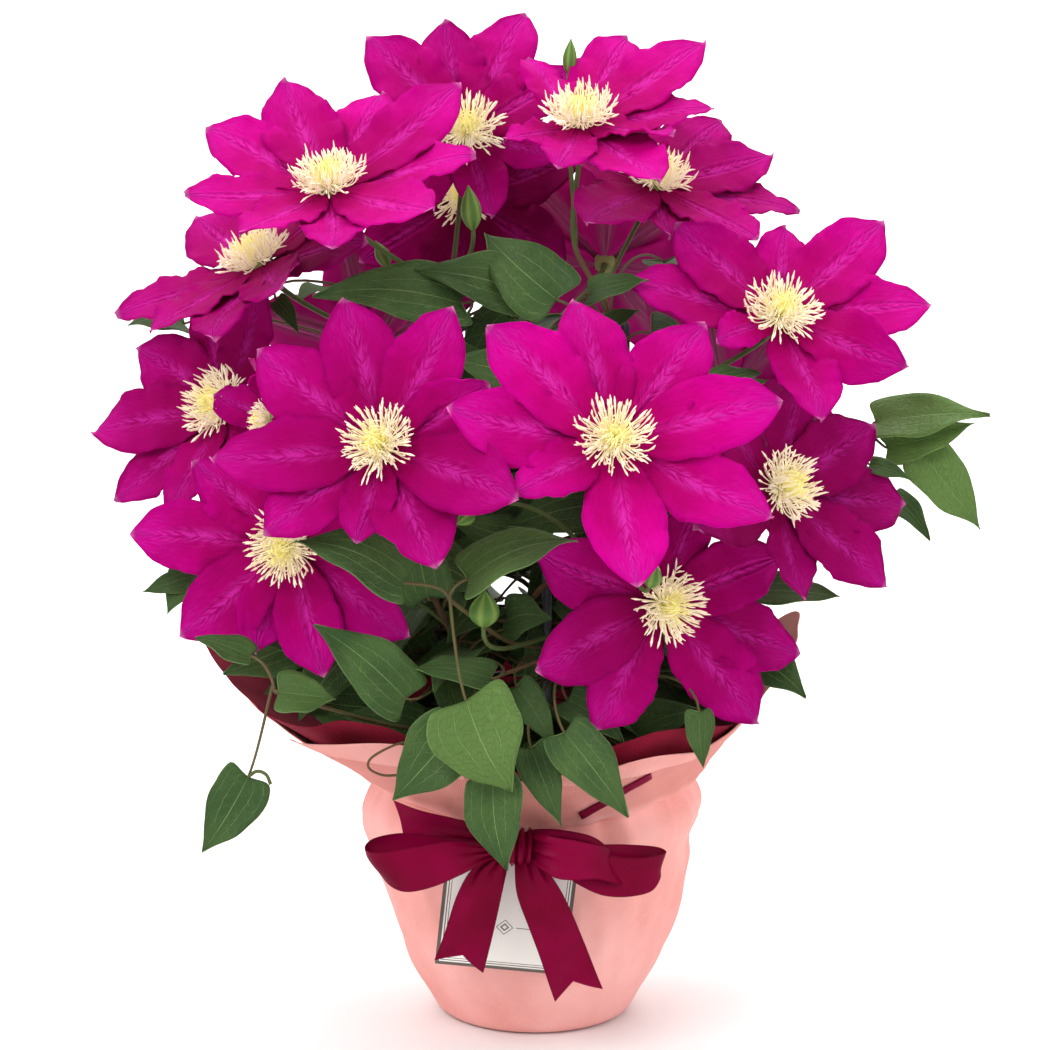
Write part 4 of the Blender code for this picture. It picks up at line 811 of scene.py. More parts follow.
def satin_finish(sizes):
    """Glossy ribbon with a fine cross weave and worked edges."""
    skin = Finish("ribbon_satin", 0.38, specular=0.05)
    across, along = skin.uv()
    side = (across * 2.0 - 1.0).math("ABSOLUTE")
    threads = (along * 1900.0).math("SINE") * 0.5 + 0.5
    slubs = skin.noise(skin.place("UV", (3.0, 90.0, 1.0)), 4.0, 3.0)
    cloud = skin.noise(skin.place("Object"), 30.0, 2.0)
    edge = side.smooth(0.93, 0.97)
    # Painted highlight: lit satin laid in soft clouds
    base = skin.blend(cloud.smooth(0.30, 0.70), sizes.ribbon_colour, sizes.ribbon_light)
    base = skin.blend(edge * 0.5, base, sizes.ribbon_shade)
    skin.relief(threads * 0.15 + slubs * 0.25 + edge * 0.6 + cloud * 0.5, 0.0003, 0.4)
    return skin.set(Base_Color=base, Roughness=0.33 + slubs * 0.14 + edge * 0.2)


def card_finish(sizes):
    """Cream card with a brown border and thin inner lines."""
    skin = Finish("card_print", 0.6, specular=0.3)
    across, along = skin.uv()
    x = ((across - 0.5).math("ABSOLUTE") * -1.0 + 0.5) * CARD_WIDTH
    y = ((along - 0.5).math("ABSOLUTE") * -1.0 + 0.5) * CARD_HEIGHT
    rim = x.math("MINIMUM", y)
    grain = skin.noise(skin.place("Object"), 600.0, 3.0)
    ink = 1.0 - rim.smooth(1.5, 1.7)
    for spot, half in ((2.5, 0.16), (3.6, 0.10)):
        ink = ink.math("MAXIMUM", 1.0 - (rim - spot).math("ABSOLUTE").smooth(half, half + 0.12))
    wide = (across - 0.5).math("ABSOLUTE") * CARD_WIDTH
    tall = (along - CARD_MARK).math("ABSOLUTE") * CARD_HEIGHT
    for size, half in ((3.6, 0.16), (1.6, 0.35)):
        ink = ink.math("MAXIMUM", 1.0 - (wide + tall - size).math("ABSOLUTE").smooth(
            half, half + 0.15))
    rule = (1.0 - tall.smooth(0.12, 0.26)) * wide.smooth(5.0, 5.2) * (1.0 - wide.smooth(15, 15.4))
    ink = ink.math("MAXIMUM", rule)
    base = skin.blend(grain * 0.25, sizes.card_colour, (0.93, 0.89, 0.80))
    base = skin.blend(ink * 0.92, base, sizes.card_ink)
    skin.relief(grain, 0.0001, 0.4)
    return skin.set(Base_Color=base)


def plain_finish(name, colour, other, scale, roughness, depth, metallic=0.0, coat=0.0):
    """Two close colours in soft noise, with a matching relief."""
    skin = Finish(name, roughness, metallic, coat)
    place = skin.place("Object")
    drift = skin.noise(place, scale, 4.0, 0.6)
    grain = skin.noise(place, scale * 6.0, 3.0, 0.6)
    base = skin.blend(drift.smooth(0.3, 0.7), colour, other)
    skin.relief(drift * 0.6 + grain * 0.4, depth, 0.7)
    return skin.set(Base_Color=base, Roughness=roughness - 0.1 + grain * 0.2)


def colour_property(name, description, colour):
    """Declare one colour."""
    return FloatVectorProperty(name=name, description=description, subtype="COLOR", size=3,
                               min=0.0, max=1.0, default=colour)


class ClematisSizes(bpy.types.PropertyGroup):
    """Sizes and colours of the plant."""

    petal_thickness: FloatProperty(name="Petal thickness", description="Thickness of a petal",
                                   default=0.00055, unit="LENGTH")
    petal_ruffle: FloatProperty(name="Petal ruffle", description="Height of the waves at its edge",
                                default=0.0014, unit="LENGTH")
    leaf_thickness: FloatProperty(name="Leaf thickness", description="Thickness of a leaf",
                                  default=0.0005, unit="LENGTH")
    stamen_count: IntProperty(name="Stamens", description="Stamens in one crown", default=230)
    stamen_length: FloatProperty(name="Stamen length", description="Longest stamen",
                                 default=0.0150, unit="LENGTH")
    inner_leaf_count: IntProperty(name="Inner leaves",
                                  description="Small leaves between the stems", default=150)
    petal_colour: colour_property("Petal", "Middle of the petal", (0.67, 0.0, 0.270))
    petal_shade: colour_property("Petal shade", "Clouded parts", (0.52, 0.0, 0.180))
    petal_heart: colour_property("Petal heart", "Towards the crown", (0.36, 0.0, 0.092))
    # Painted shade for the petals of shaded blooms
    petal_deep: colour_property("Petal deep", "Shaded petals", (0.150, 0.0, 0.044))
    # Painted sheen at the edges and the outer part of the petal
    petal_edge_sheen: colour_property("Petal edge", "Bluer light at the edges", (0.68, 0.0, 0.340))
    petal_bar: colour_property("Petal bar", "Feathered central bar", (0.76, 0.040, 0.50))
    petal_vein: colour_property("Petal vein", "Dark veins", (0.36, 0.0, 0.110))
    petal_tip: colour_property("Petal tip", "Pale point", (0.85, 0.22, 0.55))
    petal_back: colour_property("Petal back", "Reverse of the petal", (0.24, 0.01, 0.10))
    petal_back_bar: colour_property("Back bar", "Pale bar of the reverse", (0.36, 0.10, 0.20))
    anther_outer: colour_property("Anther", "Outer anthers", (1.0, 0.89, 0.69))
    anther_inner: colour_property("Inner anther", "Middle of the crown", (1.0, 0.92, 0.38))
    filament: colour_property("Filament", "Filaments", (1.0, 0.90, 0.66))
    leaf_dark: colour_property("Leaf dark", "Old leaf", (0.032, 0.074, 0.020))
    leaf_mid: colour_property("Leaf middle", "Leaf", (0.060, 0.118, 0.030))
    leaf_bright: colour_property("Leaf bright", "Young leaf", (0.115, 0.205, 0.045))
    leaf_vein: colour_property("Leaf vein", "Veins", (0.245, 0.360, 0.130))
    leaf_back: colour_property("Leaf back", "Reverse of the leaf", (0.105, 0.180, 0.065))
    stem_young: colour_property("Young stem", "Green stalk", (0.10, 0.15, 0.04))
    stem_old: colour_property("Old stem", "Brown stalk", (0.13, 0.075, 0.035))
    bud_colour: colour_property("Bud", "Closed bud", (0.085, 0.190, 0.035))
    bud_light: colour_property("Bud light", "Ripe bud", (0.30, 0.40, 0.09))
    wrap_colour: colour_property("Wrap", "Outer sheet", (0.93, 0.48, 0.45))
    wrap_shade: colour_property("Wrap shade", "Folds of the outer sheet", (0.82, 0.34, 0.30))
    wrap_fibre: colour_property("Wrap fibre", "Light fibres", (0.96, 0.60, 0.56))
    # Painted shade of the flaring collar, laid with the woven lines
    wrap_collar_shade: colour_property("Wrap collar", "Woven part that flares", (0.66, 0.235, 0.200))
    lining_colour: colour_property("Lining", "Inner sheet", (0.48, 0.030, 0.075))
    lining_shade: colour_property("Lining shade", "Folds of the inner sheet", (0.20, 0.005, 0.022))
    ribbon_colour: colour_property("Ribbon", "Satin", (0.135, 0.0, 0.017))
    ribbon_light: colour_property("Ribbon light", "Satin in light", (0.210, 0.0, 0.033))
    ribbon_shade: colour_property("Ribbon edge", "Worked edge", (0.085, 0.0, 0.008))
    card_colour: colour_property("Card", "Board", (0.98, 0.96, 0.91))
    card_ink: colour_property("Card ink", "Border", (0.07, 0.045, 0.03))
    trellis_colour: colour_property("Trellis", "Coated wire", (0.040, 0.048, 0.055))


def petal_points(bloom, index, ruffle, rows=30, columns=17):
    """Lay out one petal as a grid: rows from hub to tip, columns across."""
    name, centre, bearing, elevation, lift, cup, petals = bloom
    right, up, facing = bloom_frame(bearing, elevation)
    angle, length = petals[index]
    level = WHORL_STEP if index % 2 else -WHORL_STEP
    rise = lift + (0.03 if index % 2 else -0.01)
    half_width = PETAL_HALF_WIDTH * min(1.0, length / 64.0)
    a = math.radians(angle)
    outward = math.cos(a) * right + math.sin(a) * up
    sideways = -math.sin(a) * right + math.cos(a) * up
    phase = index * 2.1 + float(name)
    draw = np.random.default_rng(int(name) * 20 + index)
    t = (np.linspace(0.0, 1.0, rows) ** 0.95)[:, None]
    u = np.linspace(-1.0, 1.0, columns)[None, :]
    u = u * (0.72 + 0.28 * np.abs(u))
    outline = np.clip(t, 0, 1) ** 0.85 * np.clip(1.0 - t, 0, 1) ** 0.74 / 0.333
    outline = outline * (1.0 - 0.22 * smooth_step(0.82, 0.99, t))
    left, right_side = (1.0 + draw.uniform(0.02, 0.06) * np.sin(t * draw.uniform(6, 10)
                        + draw.uniform(0, 6)) + 0.018 * np.sin(t * 27.0 + draw.uniform(0, 6))
                        for _ in range(2))
    width = np.maximum(2.4 * (1.0 - t) ** 2 + half_width * outline * np.where(
        u < 0, left, right_side), 0.12)
    bend = np.sin(math.pi * np.clip(t, 0, 1))
    flat = smooth_step(0.0, 0.5, t)
    height = level + length * rise * t ** 1.25 + cup * width * flat * (0.2 + 0.8 * u * u)
    height = height + 1.6 * t * u * np.sin(5.0 * t + phase)
    waves = draw.uniform(2.6, 4.0)
    for way in (-1.0, 1.0):
        mask = np.where(u * way > 0, np.abs(u) ** 2.6, 0.0)
        shift = draw.uniform(0, 6.28)
        height = height + mask * ruffle * bend ** 0.6 * (
            np.sin(waves * 2 * math.pi * t + shift) + 0.45 * np.sin(waves * 5.3 * math.pi * t
                                                                   + shift * 2.0))
    height = height - 0.8 * np.exp(-(u / 0.20) ** 2) * bend
    height = height + 0.28 * np.cos(np.clip(np.abs(u) / 0.34, 0, 1) * 3 * math.pi) * bend * (
        1.0 - smooth_step(0.30, 0.40, np.abs(u)))
    height = height + draw.uniform(-0.09, 0.05) * length * np.clip(t - 0.70, 0, 1) ** 2 * 6.0
    swing = draw.uniform(-0.05, 0.05) * length * bend * t
    turn = np.radians(TWISTS.get((name, index), draw.uniform(-9, 9)))
    turn = turn * smooth_step(0.15, 0.85, t)
    base = np.asarray(centre, dtype=float)
    middle = base + outward * (PETAL_START + (length - PETAL_START) * t)[..., None]
    spread = u * width
    lift_off = height - length * rise * t ** 1.25 - level
    points = (middle + facing * (level + length * rise * t ** 1.25)[..., None]
              + sideways * (spread * np.cos(turn) - lift_off * np.sin(turn) + swing)[..., None]
              + facing * (spread * np.sin(turn) + lift_off * np.cos(turn))[..., None])
    uv = np.stack(np.broadcast_arrays(u * 0.5 + 0.5, t), axis=-1)
    return points, uv


def leaf_points(base, tip, width, facing, seed, rows=22, columns=13):
    """Lay out one heart-footed leaf as a grid."""
    base, tip = np.asarray(base, dtype=float), np.asarray(tip, dtype=float)
    draw = np.random.default_rng(seed)
    length = np.linalg.norm(tip - base)
    along = (tip - base) / length
    facing = np.asarray(facing, dtype=float)
    up = unit(facing - along * (facing @ along))
    side = np.cross(up, along)
    t = (np.linspace(0.0, 1.0, rows) ** 1.65)[:, None]
    u = np.linspace(-1.0, 1.0, columns)[None, :]
    shape = smooth_curve(t, (0.0, 0.01, 0.03, 0.06, 0.12, 0.20, 0.31, 0.46, 0.62, 0.76, 0.87,
                             0.95, 1.0),
                         (0.02, 0.36, 0.60, 0.79, 0.93, 1.0, 0.99, 0.88, 0.67, 0.42, 0.21,
                          0.08, 0.006))
    half = 0.5 * width * shape * (1.0 + 0.04 * np.sin(t * 13.0 + draw.uniform(0, 6)) * np.sign(u))
    back = -0.115 * length * np.abs(u) ** 1.5 * (t / 0.07) * np.exp(1.0 - t / 0.07)
    height = LEAF_FOLD * half * np.abs(u) ** 1.2 + LEAF_SAG * length * 2 * t * (1 - t)
    ripple = 0.028 * length * np.abs(u) ** 2 * np.sin(t * 11.0 + draw.uniform(0, 6) + u * 1.5)
    quilt = 0.008 * length * np.cos(np.abs(u) * 17.0) * np.sin(math.pi * t)
    droop = draw.uniform(-0.12, 0.0) * length * t ** 3
    swing = draw.uniform(-0.06, 0.06) * length * np.sin(math.pi * t)
    points = (base + along * (t * length + back)[..., None] + up * (height + ripple + quilt
              + droop)[..., None] + side * (u * half + swing)[..., None])
    uv = np.stack(np.broadcast_arrays(u * 0.5 + 0.5, t), axis=-1)
    return points, uv


def inner_leaves(taken, count, seed):
    """Choose places for the small leaves between the stems, clear of what is there.

    Each is (stem, point on it, base, tip, width, facing), kept behind every bloom.
    """
    draw = np.random.default_rng(seed)
    paths = [np.asarray(vine_path(vine)) for vine in VINES]
    centres = np.array([bloom[1] for bloom in BLOOMS], dtype=float)
    facings = np.array([bloom_frame(bloom[2], bloom[3])[2] for bloom in BLOOMS])
    chosen = []
    for _ in range(count * 40):
        if len(chosen) == count:
            break
        stem = int(draw.integers(len(paths)))
        kind = len(chosen) % 4
        low, core = kind == 0, kind in (1, 2)
        path = paths[stem][4:22] if low else paths[stem][14:]
        start = path[int(draw.integers(len(path)))]
        heading = draw.uniform(-math.pi * 1.1, 0.1 * math.pi) if low else draw.uniform(
            0, 2 * math.pi)
        out = np.array([math.cos(heading), math.sin(heading), 0.0])
        if core:
            base = np.array((draw.uniform(-62, 62), draw.uniform(-50, 30), draw.uniform(140, 310)))
            gaps = [np.linalg.norm(p - base + (0.0, 0.0, 9.0), axis=1) for p in paths]
            stem = int(np.argmin([g.min() for g in gaps]))
            start = paths[stem][int(np.argmin(gaps[stem]))]
            out = unit(base * (1.0, 1.0, 0.0) - (0.0, 30.0, 0.0))
        else:
            reach = draw.uniform(12, 78) if low else draw.uniform(10, 62)
            base = start + out * reach + np.array((0, 0, draw.uniform(-14, 16)))
        veer = heading + draw.uniform(-1.1, 1.1)
        along = unit((math.cos(veer), math.sin(veer), draw.uniform(-0.9, 0.35)))
        length = draw.uniform(34, 47)
        tip = base + along * length
        facing = unit(out * draw.uniform(0.2, 0.9) + np.array(
            (0, -0.9 if core else -0.25, draw.uniform(0.2, 1.0))))
        side = np.cross(unit(facing - along * (facing @ along)), along)
        width = length * draw.uniform(0.50, 0.62)
        spots = np.array([base + along * length * t + side * width * 0.5 * u
                          for t in (0.0, 0.3, 0.6, 1.0) for u in (-0.9, 0.0, 0.9)])
        radial = np.hypot(spots[:, 0], spots[:, 1])
        room = np.interp(spots[:, 2], (105, 130, 180, 260, 330, 380), (62, 84, 112, 118, 96, 60))
        if (radial > room).any() or spots[:, 2].min() < 106:
            continue
        gaps = spots[:, None, :] - centres[None]
        ahead = (gaps * facings[None]).sum(axis=2)
        if ((ahead > -7.0) & (np.linalg.norm(gaps, axis=2) < 78.0)).any():
            continue
        if np.min(np.linalg.norm(spots[:, None, :] - taken[None], axis=2)) < 4.5:
            continue
        chosen.append((stem, start, base, tip, width, facing))
        taken = np.concatenate([taken, spots])
    return chosen


def vine_path(vine):
    """Return the fine path of a main stem, straight where it stands in the soil."""
    (x, y), points = vine[1], vine[2]
    low = [(x, y, SOIL_TOP - 30.0), (x, y, SOIL_TOP + 6.0)]
    return [np.array(low[0], dtype=float)] + smooth_path([low[1]] + list(points), 10)


def stem_point(path, height):
    """Find the point of a climbing path nearest a height."""
    return int(np.argmin([abs(p[2] - height) for p in path]))


class SocketTree:
    """A Geometry Nodes tree that is built call by call."""

    def __init__(self, name):
        self.tree = bpy.data.node_groups.new(name, "GeometryNodeTree")
        self.tree.interface.new_socket("Geometry", in_out="OUTPUT",
                                       socket_type="NodeSocketGeometry")
        self.inner = self.tree.nodes.new("NodeGroupInput")
        self.outer = self.tree.nodes.new("NodeGroupOutput")
        self.keys = {}

    def input(self, name, kind, default=None):
        """Declare a named input and return its socket."""
        socket = self.tree.interface.new_socket(name, in_out="INPUT", socket_type=kind)
        if default is not None:
            socket.default_value = default
        self.keys[name] = socket.identifier
        return self.inner.outputs[name]

    def node(self, kind, settings=None, inputs=None, output=0):
        """Add a node and return one of its outputs."""
        node = self.tree.nodes.new(kind)
        for name, setting in (settings or {}).items():
            setattr(node, name, setting)
        for key, entry in (inputs or {}).items():
            socket = node.inputs[key]
            for one in entry if isinstance(entry, list) else [entry]:
                if isinstance(one, bpy.types.NodeSocket):
                    self.tree.links.new(one, socket)
                else:
                    socket.default_value = one
        return node.outputs[output]

    def math(self, operation, *entries):
        """Add one Math node."""
        return self.node("ShaderNodeMath", {"operation": operation}, dict(enumerate(entries)))

    def finish(self, geometry):
        """End the tree in real geometry."""
        real = self.node("GeometryNodeRealizeInstances", None, {0: geometry})
        self.tree.links.new(real, self.outer.inputs[0])

    def run(self, name, settings, matrix=None):
        """Run the tree on an empty mesh and return its result as a plain mesh object."""
        holder = bpy.data.objects.new(name + "_source", bpy.data.meshes.new(name + "_source"))
        bpy.context.scene.collection.objects.link(holder)
        modifier = holder.modifiers.new("nodes", "NODES")
        modifier.node_group = self.tree
        for key, setting in settings.items():
            modifier[self.keys[key]] = setting
        view = bpy.context.evaluated_depsgraph_get()
        mesh = bpy.data.meshes.new_from_object(holder.evaluated_get(view))
        mesh.name = name
        bpy.data.objects.remove(holder, do_unlink=True)
        if matrix is not None:
            mesh.transform(matrix)
        item = bpy.data.objects.new(name, mesh)
        bpy.context.scene.collection.objects.link(item)
        return item


def stamen_tree():
    """Build the tree of a stamen crown: curved filaments with long anthers on a small dome."""
    tree = SocketTree("stamen_crown")
    count = tree.input("Count", "NodeSocketInt", 70)
    length = tree.input("Length", "NodeSocketFloat", 0.014)
    foot = tree.input("Foot radius", "NodeSocketFloat", 0.005)
    spread = tree.input("Spread", "NodeSocketFloat", 1.32)
    seed = tree.input("Seed", "NodeSocketInt", 1)
    stalk_finish = tree.input("Filament finish", "NodeSocketMaterial")
    anther_finish = tree.input("Anther finish", "NodeSocketMaterial")
    index = tree.node("GeometryNodeInputIndex")
    share = tree.math("DIVIDE", tree.math("ADD", index, 0.5), count)
    turn = tree.math("MULTIPLY", index, math.pi * (3.0 - math.sqrt(5.0)))
    ring = tree.math("MULTIPLY", foot, tree.math("SQRT", share))
    x = tree.math("MULTIPLY", ring, tree.math("COSINE", turn))
    y = tree.math("MULTIPLY", ring, tree.math("SINE", turn))
    dome = tree.math("MULTIPLY", tree.math("SUBTRACT", 1.0, share), 0.0022)
    spot = tree.node("ShaderNodeCombineXYZ", None, {0: x, 1: y, 2: dome})
    points = tree.node("GeometryNodePoints", None, {"Count": count, "Position": spot})
    points = tree.node("GeometryNodeStoreNamedAttribute",
                       {"data_type": "FLOAT", "domain": "POINT"},
                       {"Geometry": points, "Name": "share", "Value": share})
    forms = []
    for bend, swell in ((-0.26, 1.0), (0.14, 0.9), (-0.46, 0.95), (-0.04, 1.1)):
        arc = tree.node("GeometryNodeCurveQuadraticBezier", None, {
            "Resolution": 6, "Start": (0.0, 0.0, 0.0), "Middle": (0.06 - bend * 0.7, 0.02, 0.62),
            "End": (bend, 0.05 * swell, 1.0)})
        sides = tree.node("GeometryNodeCurvePrimitiveCircle", None,
                          {"Resolution": 3, "Radius": 0.024})
        thin = tree.node("GeometryNodeTrimCurve", None, {0: arc, "Start": 0.0, "End": 0.70})
        thin = tree.node("GeometryNodeCurveToMesh", None,
                         {"Curve": thin, "Profile Curve": sides, "Fill Caps": True})
        thin = tree.node("GeometryNodeSetMaterial", None,
                         {"Geometry": thin, "Material": stalk_finish})
        end = tree.node("GeometryNodeTrimCurve", None, {0: arc, "Start": 0.66, "End": 1.0})
        factor = tree.node("GeometryNodeSplineParameter")
        bulge = tree.math("SINE", tree.math("MULTIPLY", tree.math(
            "ADD", tree.math("MULTIPLY", factor, 0.8), 0.12), math.pi))
        end = tree.node("GeometryNodeSetCurveRadius", None, {
            "Curve": end, "Radius": tree.math("MULTIPLY", bulge, 1.15)})
        fat = tree.node("GeometryNodeCurvePrimitiveCircle", None,
                        {"Resolution": 4, "Radius": 0.042 * swell})
        end = tree.node("GeometryNodeCurveToMesh", None, {
            "Curve": end, "Profile Curve": fat, "Fill Caps": True,
            "Scale": tree.math("MULTIPLY", bulge, 1.0)})
        end = tree.node("GeometryNodeSetMaterial", None,
                        {"Geometry": end, "Material": anther_finish})
        joined = tree.node("GeometryNodeJoinGeometry", None, {0: [thin, end]})
        forms.append(tree.node("GeometryNodeGeometryToInstance", None, {0: joined}))
    choices = tree.node("GeometryNodeJoinGeometry", None, {0: forms})
    tilt = tree.math("MULTIPLY", tree.math("POWER", share, 0.62), spread)
    sway = tree.node("FunctionNodeRandomValue", {"data_type": "FLOAT"},
                     {2: -0.16, 3: 0.16, "Seed": seed}, 1)
    yaw = tree.node("FunctionNodeRandomValue", {"data_type": "FLOAT"},
                    {2: -0.30, 3: 0.30, "Seed": tree.math("ADD", seed, 11.0)}, 1)
    euler = tree.node("ShaderNodeCombineXYZ", None,
                      {0: sway, 1: tree.math("ADD", tilt, sway), 2: tree.math("ADD", turn, yaw)})
    pick = tree.node("FunctionNodeRandomValue", {"data_type": "INT"},
                     {4: 0, 5: 3, "Seed": tree.math("ADD", seed, 5.0)}, 2)
    grow = tree.node("FunctionNodeRandomValue", {"data_type": "FLOAT"},
                     {2: 0.78, 3: 1.05, "Seed": tree.math("ADD", seed, 7.0)}, 1)
    grow = tree.math("MULTIPLY", tree.math("MULTIPLY", grow, length),
                     tree.math("ADD", 0.62, tree.math("MULTIPLY", share, 0.38)))
    scale = tree.node("ShaderNodeCombineXYZ", None, {0: grow, 1: grow, 2: grow})
    placed = tree.node("GeometryNodeInstanceOnPoints", None, {
        "Points": points, "Instance": choices, "Pick Instance": True, "Instance Index": pick,
        "Rotation": euler, "Scale": scale})
    tree.finish(placed)
    return tree


def crumb_tree():
    """Build the tree that strews bark crumbs over the soil."""
    tree = SocketTree("soil_crumbs")
    count = tree.input("Count", "NodeSocketInt", 420)
    reach = tree.input("Reach", "NodeSocketFloat", 0.056)
    level = tree.input("Level", "NodeSocketFloat", 0.101)
    size = tree.input("Size", "NodeSocketFloat", 0.0022)
    finish = tree.input("Finish", "NodeSocketMaterial")
    index = tree.node("GeometryNodeInputIndex")
    share = tree.math("DIVIDE", tree.math("ADD", index, 0.5), count)
    turn = tree.math("MULTIPLY", index, math.pi * (3.0 - math.sqrt(5.0)))
    ring = tree.math("MULTIPLY", reach, tree.math("SQRT", share))
    spot = tree.node("ShaderNodeCombineXYZ", None, {
        0: tree.math("MULTIPLY", ring, tree.math("COSINE", turn)),
        1: tree.math("MULTIPLY", ring, tree.math("SINE", turn)),
        2: tree.math("ADD", level, tree.math("MULTIPLY", tree.math("SUBTRACT", 1.0, share),
                                            0.0028))})
    points = tree.node("GeometryNodePoints", None, {"Count": count, "Position": spot})
    stone = tree.node("GeometryNodeMeshIcoSphere", None, {"Radius": 1.0, "Subdivisions": 2})
    jolt = tree.node("FunctionNodeRandomValue", {"data_type": "FLOAT_VECTOR"},
                     {0: (-0.28, -0.28, -0.28), 1: (0.28, 0.28, 0.28), "Seed": 3}, 0)
    stone = tree.node("GeometryNodeSetPosition", None, {"Geometry": stone, "Offset": jolt})
    spin = tree.node("FunctionNodeRandomValue", {"data_type": "FLOAT_VECTOR"},
                     {0: (0.0, 0.0, 0.0), 1: (6.28, 6.28, 6.28), "Seed": 4}, 0)
    stretch = tree.node("FunctionNodeRandomValue", {"data_type": "FLOAT_VECTOR"},
                        {0: (0.4, 0.5, 0.3), 1: (1.3, 1.2, 0.9), "Seed": 6}, 0)
    stretch = tree.node("ShaderNodeVectorMath", {"operation": "SCALE"},
                        {0: stretch, "Scale": size})
    placed = tree.node("GeometryNodeInstanceOnPoints", None, {
        "Points": points, "Instance": stone, "Rotation": spin, "Scale": stretch})
    real = tree.node("GeometryNodeRealizeInstances", None, {0: placed})
    tree.tree.links.new(tree.node("GeometryNodeSetMaterial", None,
                                  {"Geometry": real, "Material": finish}), tree.outer.inputs[0])
    return tree


def around(angle, table):
    """Read the columns of a table of bearings at angles in degrees."""
    rows = table + ((table[0][0] + 360,) + table[0][1:],)
    bearings = [row[0] for row in rows]
    angle = (np.asarray(angle, dtype=float) + 180.0) % 360.0 - 180.0
    return [smooth_curve(angle, bearings, column) for column in list(zip(*rows))[1:]]


def pleats(angle, seed, count, narrow, wide):
    """Sum soft ridges at drawn bearings; 1 is a full ridge."""
    draw = np.random.default_rng(seed)
    total = np.zeros_like(angle)
    for _ in range(count):
        spot, half = draw.uniform(-180, 180), draw.uniform(narrow, wide)
        gap = (angle - spot + 180.0) % 360.0 - 180.0
        total = total + draw.uniform(-1.0, 1.0) * np.exp(-(gap / half) ** 2)
    return total


def wrap_points(angle, rise, inset=0.0):
    """Place points of the wrap: rise 0..1 climbs the body, 1..2 the collar."""
    angle, rise = np.broadcast_arrays(angle, rise)
    body = np.clip(rise, 0.0, 1.0)
    share = np.clip(rise - 1.0, 0.0, 1.2)
    turn = np.radians(angle)
    waist = WAIST[0] + 10.0 * np.abs(np.cos(turn)) ** 1.5
    height = waist * body ** 1.15
    radius = smooth_curve(height * WAIST[0] / waist, [p[0] for p in BODY_PROFILE],
                          [p[1] for p in BODY_PROFILE])
    rim_radius, rim_height = around(angle, COLLAR_RIM)
    fine = pleats(angle, 5, 60, 1.6, 4.5)
    broad = pleats(angle + 22.0 * (1.0 - body), 6, 12, 9.0, 22.0)
    gather = np.exp(-((rise - 1.0) / 0.20) ** 2)
    radius = radius + 1.9 * np.exp(-((body - 0.86) / 0.11) ** 2) * (rise < 1.0)
    radius = radius + fine * (1.5 * gather + 0.8 * share)
    radius = radius + broad * 1.7 * np.sin(math.pi * np.clip(body, 0, 1)) ** 0.8 * (1 - share)
    radius = radius - 4.2 * np.exp(-((rise - 1.0) / 0.055) ** 2)
    for spot, level, wide, tall, depth in DENTS:
        gap = (angle - spot + 180.0) % 360.0 - 180.0
        radius = radius + depth * np.exp(-(gap / wide) ** 2 - ((height - level) / tall) ** 2)
    radius = radius + (rim_radius - WAIST[1]) * share ** 1.15 + broad * 1.5 * share
    height = height + (rim_height - waist) * share + broad * 1.6 * share
    ripple = np.sin(angle * 0.55 + rise * 9.0) + np.sin(angle * 0.31 - rise * 14.0 + 2.0)
    radius = radius + 0.35 * ripple * np.clip(body * 3.0, 0, 1) - inset
    return np.stack([radius * np.cos(turn), radius * np.sin(turn), height], axis=-1)


def make_ribbon(piece, rows, thickness, seed, pinch=(0, 0), notch=0.0):
    """Add a satin strip between two edges, pleated where pinched and notched at its last end."""
    first, second = (np.asarray(smooth_path([row[k:k + 3] for row in rows], 10)) for k in (0, 3))
    centre, side = (first + second) * 0.5, second - first
    half = np.linalg.norm(side, axis=1) * 0.5
    count = len(centre)
    tangent = np.gradient(centre, axis=0)
    tangent /= np.linalg.norm(tangent, axis=1, keepdims=True)
    side /= np.linalg.norm(side, axis=1, keepdims=True)
    normal = np.cross(tangent, side)
    lengths = np.concatenate([[0], np.cumsum(np.linalg.norm(np.diff(centre, axis=0), axis=1))])
    u = np.linspace(-1, 1, 21)[None, :]
    share = (lengths / lengths[-1])[:, None]
    near = np.zeros_like(share)
    if pinch[0]:
        near = near + np.exp(-(share * lengths[-1] / 19.0) ** 2)
    if pinch[1]:
        near = near + np.exp(-((1 - share) * lengths[-1] / 19.0) ** 2)
    draw = np.random.default_rng(seed)
    wave = 1.15 * np.sin(u * 8.5 + draw.uniform(0, 6) + share * 2.0) * near
    wave = wave + 0.5 * np.sin(u * 17.0 + draw.uniform(0, 6)) * near
    wave = wave + 1.1 * np.cos(u * 1.7 + draw.uniform(-0.6, 0.6)) * (1.0 - near)
    wave = wave + 0.7 * np.sin(u * 3.0 + share * 11.0 + draw.uniform(0, 6)) * (1.0 - near) * share
    back = notch * (1.0 - np.abs(u)) * smooth_step(0.70, 1.0, share) / lengths[-1]
    spots = np.broadcast_to((share - back) * lengths[-1], (count, u.shape[1]))
    middle, way, out = (np.stack([np.interp(spots, lengths, column) for column in rows.T], -1)
                        for rows in (centre, side, normal))
    points = middle + way * (u * half[:, None])[..., None] + out * wave[..., None]
    uv = np.stack(np.broadcast_arrays(u * 0.5 + 0.5, spots * 0.01), axis=-1)
    piece.blade(points, uv, thickness, (0, 0), 0.5)
    return lengths[-1]


